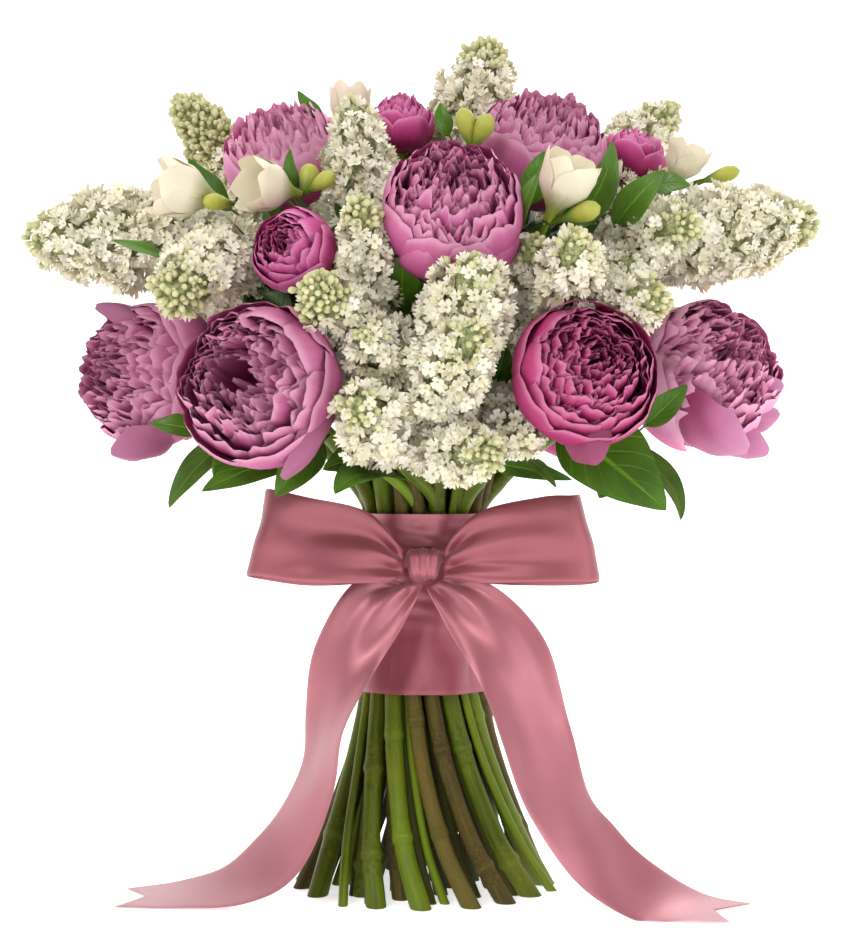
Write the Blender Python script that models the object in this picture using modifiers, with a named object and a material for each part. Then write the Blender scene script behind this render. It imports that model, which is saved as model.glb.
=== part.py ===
"""Hand-tied bunch of peonies, white lilac and freesia, held by a wide ribbon with a bow.

The bunch stands on its trimmed stem ends. All stems spiral through one narrow waist inside the ribbon and
fan out above it to a dome of flower heads. Metres, +Z up, the front of the bow faces -Y, and the origin is
the middle of the cut ends on the ground.
"""

import math

import bmesh
import bpy
import numpy as np
from mathutils import Matrix, Vector

MM = 0.001
GAP = 0.3 * MM  # running gap between pieces that touch

# --- the bundle of stems -------------------------------------------------------------------------------
WAIST_Z = 190 * MM  # the narrowest level, behind the knot
BUNDLE_RADIUS = 32.2 * MM  # outside of the bundle at the waist
RING_PLACES = (2, 8, 17)  # places in the bundle, from the middle outwards
RING_RADII = (6 * MM, 16 * MM, 27 * MM)
BEARING_SHARE = 0.6  # how far each stem moves round its ring from an even place towards its head
PACKING_ROUNDS = 160
PACKING_PUSH = 0.2 * MM
STEM_TOP_Z = 460 * MM  # the tallest stems end here, and the taper is worked out over this height
FLARE_BELOW = 1.62  # how much wider the bundle is at the ground than at the waist, less one
FLARE_POWER = 2.2
FLARE_ABOVE = 0.16
SPIRAL_BELOW = math.radians(44)  # turn of the spiral between the waist and the ground
SPIRAL_POWER = 1.3
TRIM_DEPTH = 12 * MM  # length that the florist's level cut takes off below the ground plane
STEM_SIDES_RESOLUTION = 2

# --- ribbon --------------------------------------------------------------------------------------------
RIBBON_WIDTH = 50 * MM
RIBBON_THICKNESS = 1.2 * MM
WRAP_BOTTOM_Z = 117 * MM
WRAP_TOP_Z = 222 * MM
WRAP_CLEARANCE = 0.6 * MM
KNOT_MIDDLE = Vector((0.0, -45.6 * MM, 193.5 * MM))
KNOT_HALF = Vector((10.5 * MM, 10.0 * MM, 9.5 * MM))

# --- flower heads: middle in millimetres, radius in millimetres, the way the flower faces ------------------
PEONIES = (
    ((-90, -128, 294), 43, (-0.32, -0.93, 0.16)),
    ((88, -128, 300), 38, (0.22, -0.94, 0.22)),
    ((16, -112, 391), 38, (0.05, -0.62, 0.78)),
    ((-172, -18, 300), 45, (-0.95, -0.22, 0.02)),
    ((174, -22, 304), 45, (0.82, -0.52, 0.18)),
    ((-86, 14, 441), 36, (-0.35, -0.30, 0.88)),
    ((70, 2, 443), 39, (0.22, -0.32, 0.92)),
    ((-72, -104, 369), 23, (-0.50, -0.70, 0.50)),
    ((-15, 25, 461), 21, (0.02, -0.35, 0.93)),
    ((132, 48, 444), 20, (0.40, -0.15, 0.90)),
    ((-102, 122, 304), 44, (-0.55, 0.82, 0.15)),
    ((104, 124, 300), 44, (0.55, 0.82, 0.12)),
)
# lilac: fork of the stem, then each panicle as (tip, radius at its widest), all in millimetres
LILACS = (
    ((-98, -12, 386), (((-240, 4, 387), 29), ((-138, -128, 340), 22))),
    ((-24, -62, 318), (((-42, -30, 466), 23), ((-34, -132, 394), 16), ((-60, -158, 344), 18))),
    ((-12, -60, 262), (((28, -170, 322), 23), ((-36, -168, 282), 21), ((38, -156, 250), 19))),
    ((74, -62, 330), (((82, -148, 370), 19), ((132, -118, 342), 18))),
    ((100, -6, 376), (((236, 0, 397), 28), ((152, -82, 386), 18))),
    ((14, 54, 400), (((42, 66, 524), 27),)),
    ((-84, 54, 398), (((-158, 66, 484), 19), ((-84, 130, 420), 22))),
    ((70, 92, 388), (((165, 112, 488), 22), ((84, 150, 412), 22))),
    ((-8, 64, 330), (((0, 177, 296), 27), ((10, 128, 446), 24))),
)
# freesia: middle of the spray, then each bloom or bud as (tip, radius at its widest), all in millimetres
FREESIAS = (
    ((-68, -66, 404), (((-100, -88, 408), 12), ((-50, -88, 412), 6), ((-64, -58, 422), 7))),
    ((-106, -62, 399), (((-152, -74, 409), 12), ((-122, -84, 398), 6))),
    ((68, -90, 384), (((84, -104, 420), 14), ((97, -104, 392), 7))),
    ((150, 22, 418), (((163, 12, 446), 13), ((192, 16, 430), 6))),
    ((28, -44, 432), (((22, -50, 456), 7), ((38, -52, 452), 7))),
    ((-50, 58, 456), (((-46, 62, 490), 13), ((-62, 74, 470), 7))),
)
# leaves: the stem that carries each one, the height where it leaves that stem, a point that bends its blade,
# its tip, the way its face looks, and the half width of the blade, in millimetres
LEAVES = (
    ("peony_stem_02", 284, (102, -98, 262), (132, -112, 226), (0.25, -0.92, 0.30), 22),
    ("peony_stem_01", 262, (-90, -84, 252), (-122, -98, 236), (-0.15, -0.85, 0.50), 13),
    ("peony_stem_04", 278, (-134, -46, 254), (-145, -60, 226), (-0.35, -0.90, 0.25), 10),
    ("peony_stem_05", 272, (150, -44, 250), (147, -56, 219), (0.45, -0.85, 0.20), 9),
    ("lilac_stem_03", 240, (-34, -110, 254), (-47, -132, 235), (-0.10, -0.80, 0.60), 13),
    ("peony_stem_07", 384, (112, -50, 388), (120, -74, 434), (0.20, -0.85, 0.45), 13),
)


# --- scene helpers ---------------------------------------------------------------------------------------
def clear_scene():
    for obj in list(bpy.data.objects):
        bpy.data.objects.remove(obj, do_unlink=True)


def new_collection(name):
    collection = bpy.data.collections.new(name)
    bpy.context.scene.collection.children.link(collection)
    return collection


def new_material(name, colour, roughness):
    material = bpy.data.materials.new(name)
    material.use_nodes = True
    shader = material.node_tree.nodes["Principled BSDF"]
    shader.inputs["Base Color"].default_value = (*colour, 1.0)
    shader.inputs["Roughness"].default_value = roughness
    shader.inputs["Metallic"].default_value = 0.0
    return material


def add_object(name, data, collection, material=None):
    obj = bpy.data.objects.new(name, data)
    collection.objects.link(obj)
    if material is not None:
        data.materials.append(material)
    return obj


def evaluated_mesh(obj):
    """The object's evaluated mesh, with its loose caps welded."""
    bpy.context.view_layer.update()
    graph = bpy.context.evaluated_depsgraph_get()
    mesh = bpy.data.meshes.new_from_object(obj.evaluated_get(graph))
    work = bmesh.new()
    work.from_mesh(mesh)
    bmesh.ops.remove_doubles(work, verts=work.verts, dist=0.01 * MM)
    bmesh.ops.recalc_face_normals(work, faces=work.faces)
    work.to_mesh(mesh)
    work.free()
    return mesh


def turn_to(direction):
    """Rotation that carries +Z onto the direction."""
    return Vector(direction).to_track_quat("Z", "Y")


def turned_solid(name, profile, steps, collection, material=None):
    """A profile of (radius, height), listed top to bottom, turned about Z with a Screw modifier."""
    mesh = bpy.data.meshes.new(name)
    points = [(radius, 0.0, height) for radius, height in profile]
    edges = [(i, i + 1) for i in range(len(points) - 1)]
    mesh.from_pydata(points, edges, [])
    obj = add_object(name, mesh, collection, material)
    screw = obj.modifiers.new("Turn", "SCREW")
    screw.steps = screw.render_steps = steps
    screw.use_merge_vertices = True
    screw.merge_threshold = 0.01 * MM
    screw.use_smooth_shade = False
    return obj


def thick_sheet(name, rows, thickness, collection, material, closed_ends=False):
    """A sheet through rows of points, given its thickness equally to both sides."""
    rows = np.asarray(rows)
    along, across = rows.shape[:2]
    points = rows.reshape(-1, 3)
    corner = np.arange(along * across).reshape(along, across)
    faces = np.stack([corner[:-1, :-1], corner[:-1, 1:], corner[1:, 1:], corner[1:, :-1]], axis=-1)
    mesh = bpy.data.meshes.new(name)
    mesh.from_pydata([tuple(p) for p in points], [], [tuple(f) for f in faces.reshape(-1, 4)])
    obj = add_object(name, mesh, collection, material)
    solid = obj.modifiers.new("Thickness", "SOLIDIFY")
    solid.thickness = thickness
    solid.offset = 0.0
    return obj


def tube_mesh(name, points, radii, collection, material=None):
    """A round tube of varying radius through the points, as a mesh object with welded caps."""
    curve = bpy.data.curves.new(name + "_line", "CURVE")
    curve.dimensions = "3D"
    curve.bevel_depth = 1.0
    curve.bevel_resolution = STEM_SIDES_RESOLUTION
    curve.use_fill_caps = True
    spline = curve.splines.new("POLY")
    spline.points.add(len(points) - 1)
    for point, place, radius in zip(spline.points, points, radii):
        point.co = (*place, 1.0)
        point.radius = radius
    guide = add_object(name + "_line", curve, collection)
    mesh = evaluated_mesh(guide)
    bpy.data.objects.remove(guide, do_unlink=True)
    mesh.name = name
    return add_object(name, mesh, collection, material)


def join_by_union(target, others):
    """Boolean union of the target with each helper, which stays hidden in the helpers' collection."""
    for helper in others:
        helper.hide_render = True
        helper.display_type = "WIRE"
        union = target.modifiers.new("Join " + helper.name, "BOOLEAN")
        union.operation = "UNION"
        union.object = helper


# --- stems -----------------------------------------------------------------------------------------------
SHOULDER = 7 * MM  # straight end of a stem under its flower
BUNDLE_LEVELS = (-TRIM_DEPTH, 32 * MM, 76 * MM, WRAP_BOTTOM_Z, 152 * MM, WAIST_Z, WRAP_TOP_Z)


def bundle_scale(z):
    """How wide the bundle is at a height, where 1 is the waist."""
    if z < WAIST_Z:
        return 1.0 + FLARE_BELOW * ((WAIST_Z - z) / WAIST_Z) ** FLARE_POWER
    return 1.0 + FLARE_ABOVE * ((z - WAIST_Z) / (WRAP_TOP_Z - WAIST_Z)) ** FLARE_POWER


def bundle_turn(z):
    """How far the spiral has turned at a height, counted from the waist."""
    if z < WAIST_Z:
        return SPIRAL_BELOW * ((WAIST_Z - z) / WAIST_Z) ** SPIRAL_POWER
    return 0.0


def bundle_point(ring_radius, angle, z):
    radius = ring_radius * bundle_scale(z)
    turned = angle + bundle_turn(z)
    return Vector((radius * math.cos(turned), radius * math.sin(turned), z))


def bundle_places():
    """(ring radius, angle) of every place at the waist, ring by ring from the middle."""
    rings = []
    for count, radius in zip(RING_PLACES, RING_RADII):
        rings.append([(radius, 2 * math.pi * i / count) for i in range(count)])
    return rings


def angle_between(a, b):
    return abs((a - b + math.pi) % (2 * math.pi) - math.pi)


def radius_at(foot, neck, z):
    """A stem tapers evenly with height from its foot to its neck."""
    share = min(1.0, max(0.0, z / STEM_TOP_Z))
    return foot + (neck - foot) * share


def settle_bundle(places, radii):
    """Pushes the stems outwards at the waist until each one rests on its neighbours or on the ribbon."""
    names = sorted(places)
    at = np.array([[places[n][0] * math.cos(places[n][1]), places[n][0] * math.sin(places[n][1])] for n in names])
    size = np.array([radii[n] for n in names]) + GAP / 2
    for turn in range(PACKING_ROUNDS):
        distance = np.maximum(np.hypot(*at.T), 0.1 * MM)
        push = PACKING_PUSH * max(0.0, 1 - turn / (0.9 * PACKING_ROUNDS))
        at += at / distance[:, None] * push
        for _ in range(12):
            apart = at[:, None] - at[None]
            far = np.hypot(apart[..., 0], apart[..., 1]) + np.eye(len(at))
            short = np.maximum(0.0, size[:, None] + size[None] - far) * (1 - np.eye(len(at)))
            at += 0.5 * (apart / far[..., None] * short[..., None]).sum(axis=1)
            distance = np.maximum(np.hypot(*at.T), 0.1 * MM)
            at *= np.minimum(1.0, (BUNDLE_RADIUS - size) / distance)[:, None]
    return {n: (math.hypot(x, y), math.atan2(y, x)) for n, (x, y) in zip(names, at)}


def assign_places(heads):
    """Gives every head a place in the bundle. Upright heads take the middle and low ones the outer ring,
    and within a ring the stems keep the order of their heads, so that no two stems cross."""

    def lean(name):
        end = heads[name][0]
        return math.atan2(math.hypot(end.x, end.y), end.z - WAIST_Z)

    names = sorted(heads, key=lean)
    chosen = {}
    for places in bundle_places():
        group, names = names[: len(places)], names[len(places) :]
        group.sort(key=lambda name: math.atan2(heads[name][0].y, heads[name][0].x))
        bearings = [math.atan2(heads[name][0].y, heads[name][0].x) for name in group]

        def mismatch(shift):
            pairs = ((bearings[i], places[(i + shift) % len(places)][1]) for i in range(len(group)))
            return sum(angle_between(a, b) ** 2 for a, b in pairs)

        best = min(range(len(places)), key=mismatch)
        for i, name in enumerate(group):
            ring_radius, angle = places[(i + best) % len(places)]
            off = (bearings[i] - angle + math.pi) % (2 * math.pi) - math.pi
            chosen[name] = (ring_radius, angle + off * BEARING_SHARE)
    return chosen


def stem_line(place, end, facing):
    """Points along one stem: the spiral bundle up to the top of the ribbon, then one smooth sweep that
    arrives at the flower along the way it faces."""
    ring_radius, angle = place
    lower = [bundle_point(ring_radius, angle, z) for z in BUNDLE_LEVELS]
    start = lower[-1]
    shoulder = end - facing * SHOULDER
    reach = (shoulder - start).length
    leave = (shoulder - start).normalized() * 0.55 + Vector((0, 0, 1)) * 0.45
    leave = leave.normalized() * reach
    arrive = facing * reach * 0.9
    upper = []
    for t in (0.22, 0.48, 0.74, 1.0):
        h00 = 2 * t**3 - 3 * t**2 + 1
        h10 = t**3 - 2 * t**2 + t
        h01 = -2 * t**3 + 3 * t**2
        h11 = t**3 - t**2
        upper.append(start * h00 + leave * h10 + shoulder * h01 + arrive * h11)
    return lower + upper + [end]


def trim_at_ground(obj):
    """The level cut that lets the bunch stand: everything below the ground plane is cut off and closed."""
    work = bmesh.new()
    work.from_mesh(obj.data)
    geometry = work.verts[:] + work.edges[:] + work.faces[:]
    cut = bmesh.ops.bisect_plane(
        work, geom=geometry, dist=0.001 * MM, plane_co=(0, 0, 0), plane_no=(0, 0, -1), clear_outer=True
    )
    rim = [item for item in cut["geom_cut"] if isinstance(item, bmesh.types.BMEdge)]
    bmesh.ops.edgeloop_fill(work, edges=rim)
    bmesh.ops.recalc_face_normals(work, faces=work.faces)
    work.to_mesh(obj.data)
    work.free()


# --- flower heads ----------------------------------------------------------------------------------------
def peony_bloom(name, middle, radius, facing, collection, material):
    """A full bloom as one closed globe, broad where its petals open and narrow at its foot."""
    outline = (
        (0.0, 0.72),
        (0.46, 0.66),
        (0.82, 0.46),
        (1.0, 0.06),
        (0.88, -0.40),
        (0.52, -0.74),
        (0.20, -0.88),
        (0.0, -0.88),
    )
    obj = turned_solid(name, [(r * radius, h * radius) for r, h in outline], 14, collection, material)
    obj.rotation_mode = "QUATERNION"
    obj.rotation_quaternion = turn_to(facing)
    obj.location = middle
    return obj


PEONY_FOOT_SHARE = 0.88  # how far below its middle the bloom meets its stem, as a share of its radius


def spindle(name, start, tip, radius, collection, material=None):
    """A panicle, bloom or bud: narrow where it starts, widest half way along, round at its tip."""
    length = (tip - start).length
    outline = ((0.0, 1.0), (0.45, 0.96), (0.85, 0.78), (1.0, 0.52), (0.72, 0.24), (0.26, 0.02), (0.0, 0.0))
    profile = [(r * radius, h * length) for r, h in outline]
    obj = turned_solid(name, profile, 9, collection, material)
    obj.rotation_mode = "QUATERNION"
    obj.rotation_quaternion = turn_to(tip - start)
    obj.location = start
    return obj


def fork_node(name, middle, rise, radius, collection, material=None):
    """The swollen node where a flower head forks, flat below where it sits on its stem."""
    outline = ((0.0, 1.0), (0.75, 0.66), (1.0, 0.0), (0.60, -1.0), (0.0, -1.0))
    profile = [(r * radius, h * radius) for r, h in outline]
    obj = turned_solid(name, profile, 8, collection, material)
    obj.rotation_mode = "QUATERNION"
    obj.rotation_quaternion = turn_to(rise)
    obj.location = middle
    return obj


def lilac_head(name, fork, rise, panicles, collection, helpers, material):
    """The panicles that grow from one fork, joined there into one piece."""
    lobes = [
        spindle(f"{name}_lobe_{i}", fork, Vector(tip) * MM, radius * MM, helpers)
        for i, (tip, radius) in enumerate(panicles)
    ]
    head = fork_node(name, fork, rise, FORK_RADIUS, collection, material)
    join_by_union(head, lobes)
    return head


FORK_RADIUS = 7 * MM
FREESIA_FORK_RADIUS = 4 * MM


# --- leaves ----------------------------------------------------------------------------------------------
def leaf_blade(name, root, middle, tip, face, half_width, collection, material):
    """A pointed blade along a curve from root to tip, folded a little along its midrib."""
    stations = np.linspace(0.0, 1.0, 8)
    centre = [root.lerp(middle, t).lerp(middle.lerp(tip, t), t) for t in stations]
    rows = []
    for i, t in enumerate(stations):
        ahead = centre[min(i + 1, len(centre) - 1)] - centre[max(i - 1, 0)]
        across = ahead.cross(Vector(face)).normalized()
        up = across.cross(ahead).normalized()
        half = half_width * leaf_outline(t)
        fold = 0.18 * half
        rows.append(
            [centre[i] + across * half * side + up * (fold * abs(side)) for side in (-1.0, -0.5, 0.0, 0.5, 1.0)]
        )
    return thick_sheet(name, rows, 0.9 * MM, collection, material)


def leaf_outline(t):
    """Half width along the blade, as a share of its widest: a narrow stalk, a broad middle, a pointed tip."""
    stalk = 0.12
    if t < 0.18:
        return stalk
    u = (t - 0.18) / 0.82
    return stalk * (1 - u) + 0.98 * max(0.0, math.sin(math.pi * u**0.85)) ** 0.8 + 0.02


# --- ribbon ----------------------------------------------------------------------------------------------
def ribbon_wrap(collection, material):
    """The ribbon wound flat round the waist, as one sleeve that follows the bundle."""
    levels = [z for z in BUNDLE_LEVELS if z >= WRAP_BOTTOM_Z][::-1]
    inner = [(BUNDLE_RADIUS * bundle_scale(z) + WRAP_CLEARANCE, z) for z in levels]
    outer = [(radius + RIBBON_THICKNESS, z) for radius, z in inner]
    profile = outer + inner[::-1]
    return turned_solid("ribbon_wrap", profile + [profile[0]], 32, collection, material)


def bow_knot(collection, material):
    """The knot, a tight band of ribbon with rounded edges."""
    mesh = bpy.data.meshes.new("bow_knot")
    work = bmesh.new()
    bmesh.ops.create_cube(work, size=2.0, matrix=Matrix.Diagonal((*KNOT_HALF, 1.0)))
    work.to_mesh(mesh)
    work.free()
    obj = add_object("bow_knot", mesh, collection, material)
    obj.location = KNOT_MIDDLE
    bevel = obj.modifiers.new("Rounding", "BEVEL")
    bevel.width = 4 * MM
    bevel.segments = 2
    return obj


def catmull(points, count):
    """count points, evenly spread over the spans of a smooth curve through the given ones."""
    p = [np.asarray(point, float) for point in points]
    p = [2 * p[0] - p[1], *p, 2 * p[-1] - p[-2]]
    spans = len(p) - 3
    found = []
    for u in np.linspace(0, spans, count):
        i = min(int(u), spans - 1)
        t = u - i
        a, b, c, d = p[i : i + 4]
        found.append(
            0.5 * (2 * b + (c - a) * t + (2 * a - 5 * b + 4 * c - d) * t**2 + (3 * b - a - 3 * c + d) * t**3)
        )
    return found


def strip_rows(stations, count, across_count):
    """Rows of points of a ribbon strip. Each station is (middle, half width vector), in millimetres."""
    middles = catmull([middle for middle, _ in stations], count)
    halves = catmull([half for _, half in stations], count)
    shares = np.linspace(-1.0, 1.0, across_count)
    rows = np.array([[(m + h * share) * MM for share in shares] for m, h in zip(middles, halves)])
    rows[..., 2] = np.maximum(rows[..., 2], RIBBON_THICKNESS / 2)
    return rows


def bow_loop(name, side, outer_height, collection, material):
    """One loop of the bow: out from the knot in front, round, and back behind. side is -1 or 1."""
    stations = (
        ((11.6 * side, -50, 193.5), (0, 0, 8)),
        ((34 * side, -62, 203), (0, 0, 17)),
        ((66 * side, -70, 210), (0, 0, 23)),
        ((88 * side, -68, outer_height), (-4 * side, 0, 24.5)),
        ((95 * side, -58, outer_height), (-5 * side, 0, 25)),
        ((88 * side, -48, outer_height), (-4 * side, 0, 24.5)),
        ((66 * side, -44, 209), (0, 0, 22)),
        ((36 * side, -44, 202), (0, 0, 15)),
        ((11.6 * side, -42, 193.5), (0, 0, 8)),
    )
    return thick_sheet(name, strip_rows(stations, 25, 4), RIBBON_THICKNESS, collection, material)


def ribbon_tail(name, stations, collection, material):
    """A tail of the bow, from under the knot down to the ground, where its end lies flat."""
    return thick_sheet(name, strip_rows(stations, 21, 4), RIBBON_THICKNESS, collection, material)


FLAT_MIDDLE = RIBBON_THICKNESS / 2 / MM  # height of the middle of a ribbon that lies on the ground
LEFT_TAIL = (
    ((-7.4, -46, 182.4), (6.6, 0, 0.6)),
    ((-24, -56, 168), (15, 0, 12)),
    ((-46, -60, 138), (17, -12, 11)),
    ((-56, -62, 104), (13, -20, 4)),
    ((-64, -63, 70), (13, -20, 5)),
    ((-84, -62, 36), (12, -20, 9)),
    ((-116, -56, 9), (5, -23, 5)),
    ((-144, -50, FLAT_MIDDLE), (0, -25, 0)),
    ((-176, -44, FLAT_MIDDLE), (0, -25, 0)),
)
RIGHT_TAIL = (
    ((7.4, -46, 182.4), (6.6, 0, -0.6)),
    ((28, -60, 168), (17, 0, -12)),
    ((48, -72, 138), (22, 4, -12)),
    ((56, -80, 100), (22, 8, -5)),
    ((66, -84, 62), (22, 4, -8)),
    ((88, -84, 30), (17, -12, -13)),
    ((118, -82, 8), (8, 22, -5)),
    ((148, -82, FLAT_MIDDLE), (9, 23, 0)),
    ((178, -84, FLAT_MIDDLE), (10, 23, 0)),
)


# --- assembly --------------------------------------------------------------------------------------------
def main():
    clear_scene()
    bunch = new_collection("bunch_of_peonies")
    helpers = new_collection("helpers")
    pink = new_material("peony_pink", (0.62, 0.22, 0.45), 0.6)
    magenta = new_material("peony_magenta", (0.52, 0.06, 0.27), 0.6)
    white = new_material("lilac_white", (0.80, 0.80, 0.66), 0.65)
    cream = new_material("freesia_cream", (0.84, 0.80, 0.58), 0.5)
    green = new_material("stem_green", (0.20, 0.30, 0.06), 0.5)
    woody = new_material("lilac_wood", (0.22, 0.20, 0.08), 0.6)
    leaf = new_material("leaf_green", (0.10, 0.22, 0.05), 0.45)
    satin = new_material("ribbon_satin", (0.58, 0.22, 0.27), 0.35)

    heads = {}
    for i, (middle, radius, facing) in enumerate(PEONIES, 1):
        facing = Vector(facing).normalized()
        middle = Vector(middle) * MM
        petals = magenta if i in (8, 9, 10) else pink
        peony_bloom(f"peony_bloom_{i:02d}", middle, radius * MM, facing, bunch, petals)
        foot = middle - facing * (radius * MM * PEONY_FOOT_SHARE + GAP)
        heads[f"peony_stem_{i:02d}"] = (foot, facing, 5.6 * MM, 3.6 * MM, green)
    for i, (fork, panicles) in enumerate(LILACS, 1):
        fork = Vector(fork) * MM
        rise = (fork - Vector((0, 0, WRAP_TOP_Z))).normalized()
        lilac_head(f"lilac_panicles_{i:02d}", fork, rise, panicles, bunch, helpers, white)
        foot = fork - rise * (FORK_RADIUS + GAP)
        heads[f"lilac_stem_{i:02d}"] = (foot, rise, 5.0 * MM, 3.2 * MM, woody)
    for i, (fork, _) in enumerate(FREESIAS, 1):
        fork = Vector(fork) * MM
        rise = (fork - Vector((0, 0, WRAP_TOP_Z))).normalized()
        heads[f"freesia_{i:02d}"] = (fork, rise, 2.6 * MM, 1.6 * MM, cream)

    waist = {name: radius_at(thick, thin, WAIST_Z) for name, (_, _, thick, thin, _) in heads.items()}
    places = settle_bundle(assign_places(heads), waist)
    lines = {}
    for name, (foot, facing, thick, thin, material) in heads.items():
        points = stem_line(places[name], foot, facing)
        lines[name] = (points, [radius_at(thick, thin, p.z) for p in points])
        stem = tube_mesh(name, *lines[name], bunch, material)
        trim_at_ground(stem)
        if name.startswith("freesia"):
            blooms = FREESIAS[int(name[-2:]) - 1][1]
            lobes = [
                spindle(f"{name}_lobe_{i}", foot, Vector(tip) * MM, radius * MM, helpers)
                for i, (tip, radius) in enumerate(blooms)
            ]
            join_by_union(stem, [fork_node(name + "_fork", foot, facing, FREESIA_FORK_RADIUS, helpers), *lobes])

    for i, (carrier, height, middle, tip, face, half_width) in enumerate(LEAVES, 1):
        points, radii = lines[carrier]
        middle, tip = Vector(middle) * MM, Vector(tip) * MM
        root = leaf_root(points, radii, height * MM, middle)
        leaf_blade(f"leaf_{i:02d}", root, middle, tip, face, half_width * MM, bunch, leaf)

    ribbon_wrap(bunch, satin)
    bow_knot(bunch, satin)
    bow_loop("bow_loop_left", -1, 212, bunch, satin)
    bow_loop("bow_loop_right", 1, 209, bunch, satin)
    ribbon_tail("ribbon_tail_left", LEFT_TAIL, bunch, satin)
    ribbon_tail("ribbon_tail_right", RIGHT_TAIL, bunch, satin)


def leaf_root(points, radii, height, towards):
    """Where a leaf leaves its stem: beside the stem at that height, on the side of the blade."""
    for a, b, radius in zip(points, points[1:], radii):
        if a.z <= height <= b.z:
            on_line = a.lerp(b, (height - a.z) / (b.z - a.z))
            out = (towards - on_line).normalized()
            along = (b - a).normalized()
            out = (out - along * out.dot(along)).normalized()
            return on_line + out * (radius + 2 * GAP)
    return points[-1]


main()
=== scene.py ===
"""Looks of a hand-tied bunch of peonies, white lilac and freesia, with a satin ribbon and bow.

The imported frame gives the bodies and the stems. Petals, florets, leaves, stems and ribbon are surfaces
worked out with numpy, in metres, +Z up, with the front of the bow towards -Y.
"""

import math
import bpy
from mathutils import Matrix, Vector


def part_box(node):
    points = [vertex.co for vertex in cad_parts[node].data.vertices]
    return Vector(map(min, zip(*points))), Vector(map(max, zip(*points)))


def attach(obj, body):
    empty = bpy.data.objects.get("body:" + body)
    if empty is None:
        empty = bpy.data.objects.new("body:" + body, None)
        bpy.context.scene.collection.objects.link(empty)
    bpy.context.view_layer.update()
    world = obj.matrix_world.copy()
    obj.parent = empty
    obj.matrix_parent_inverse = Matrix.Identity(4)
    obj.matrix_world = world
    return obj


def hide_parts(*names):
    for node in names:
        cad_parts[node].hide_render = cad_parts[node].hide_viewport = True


bl_info = {
    "name": "Hand-tied bunch of peonies",
    "version": (1, 0, 0),
    "blender": (4, 5, 0),
    "location": "3D View > Sidebar > Bunch",
    "description": "Petals, florets, leaves, stems and ribbon of a hand-tied bunch of flowers",
    "category": "Add Mesh",
}

import bpy
import numpy as np
from bpy.props import FloatProperty, FloatVectorProperty, IntProperty, PointerProperty
from bpy.types import Operator, Panel, PropertyGroup
from mathutils import Matrix

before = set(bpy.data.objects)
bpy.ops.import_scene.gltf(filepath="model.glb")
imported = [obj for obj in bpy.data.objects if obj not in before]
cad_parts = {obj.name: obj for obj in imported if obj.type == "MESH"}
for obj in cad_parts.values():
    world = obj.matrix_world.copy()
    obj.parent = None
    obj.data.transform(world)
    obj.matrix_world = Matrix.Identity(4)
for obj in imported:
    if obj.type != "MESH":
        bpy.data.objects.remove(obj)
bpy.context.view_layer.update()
MM = 0.001
GOLDEN = math.pi * (3 - math.sqrt(5))
TURN = 2 * math.pi
WHITE = (1.0, 1.0, 1.0, 1.0)
TISSUE = 0.0006  # thickness of a leaf or tepal, in metres
SHARP_ANGLE = math.radians(65)  # an edge bent further than this is shaded as a crease

# --- where things are, in millimetres: as in the solids, with the two side blooms moved by a few ---
# middle of a bloom, radius, the way it faces
PEONIES = (
    ((-90, -128, 294), 43, (-0.32, -0.93, 0.16)),
    ((88, -128, 300), 38, (0.22, -0.94, 0.22)),
    ((16, -112, 391), 38, (0.02, -0.86, 0.50)),
    ((-164, -20, 304), 42, (-0.62, -0.76, 0.12)),
    ((168, -22, 305), 43, (0.34, -0.88, 0.33)),
    ((-86, 14, 441), 36, (-0.22, -0.62, 0.75)),
    ((70, 2, 443), 39, (0.18, -0.58, 0.80)),
    ((-72, -104, 369), 23, (-0.38, -0.88, 0.28)),
    ((-15, 25, 461), 21, (0.02, -0.35, 0.93)),
    ((132, 48, 444), 20, (0.40, -0.15, 0.90)),
    ((-102, 122, 304), 44, (-0.55, 0.82, 0.15)),
    ((104, 124, 300), 44, (0.55, 0.82, 0.12)),
)
# fork of a lilac stem, then each panicle as tip, radius at its widest, share of it still in bud
LILACS = (
    ((-98, -12, 386), (((-240, 4, 387), 29, 0.10), ((-138, -128, 340), 22, 0.18))),
    ((-24, -62, 318), (((-42, -30, 466), 23, 0.06), ((-34, -132, 394), 16, 0.14), ((-60, -158, 344), 18, 0.22))),
    ((-12, -60, 262), (((28, -170, 322), 23, 0.08), ((-36, -168, 282), 21, 0.08), ((38, -156, 256), 17, 0.14))),
    ((74, -62, 330), (((82, -148, 370), 19, 0.12), ((132, -118, 342), 18, 0.14))),
    ((100, -6, 376), (((236, 0, 397), 28, 0.12), ((152, -82, 386), 18, 0.15))),
    ((14, 54, 400), (((42, 66, 520), 27, 0.14),)),
    ((-84, 54, 398), (((-158, 66, 484), 19, 0.5), ((-84, 130, 420), 22, 0.2))),
    ((70, 92, 388), (((165, 112, 488), 22, 0.12), ((84, 150, 412), 22, 0.2))),
    ((-8, 64, 330), (((0, 177, 296), 27, 0.1), ((10, 128, 446), 24, 0.3))),
)
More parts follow.
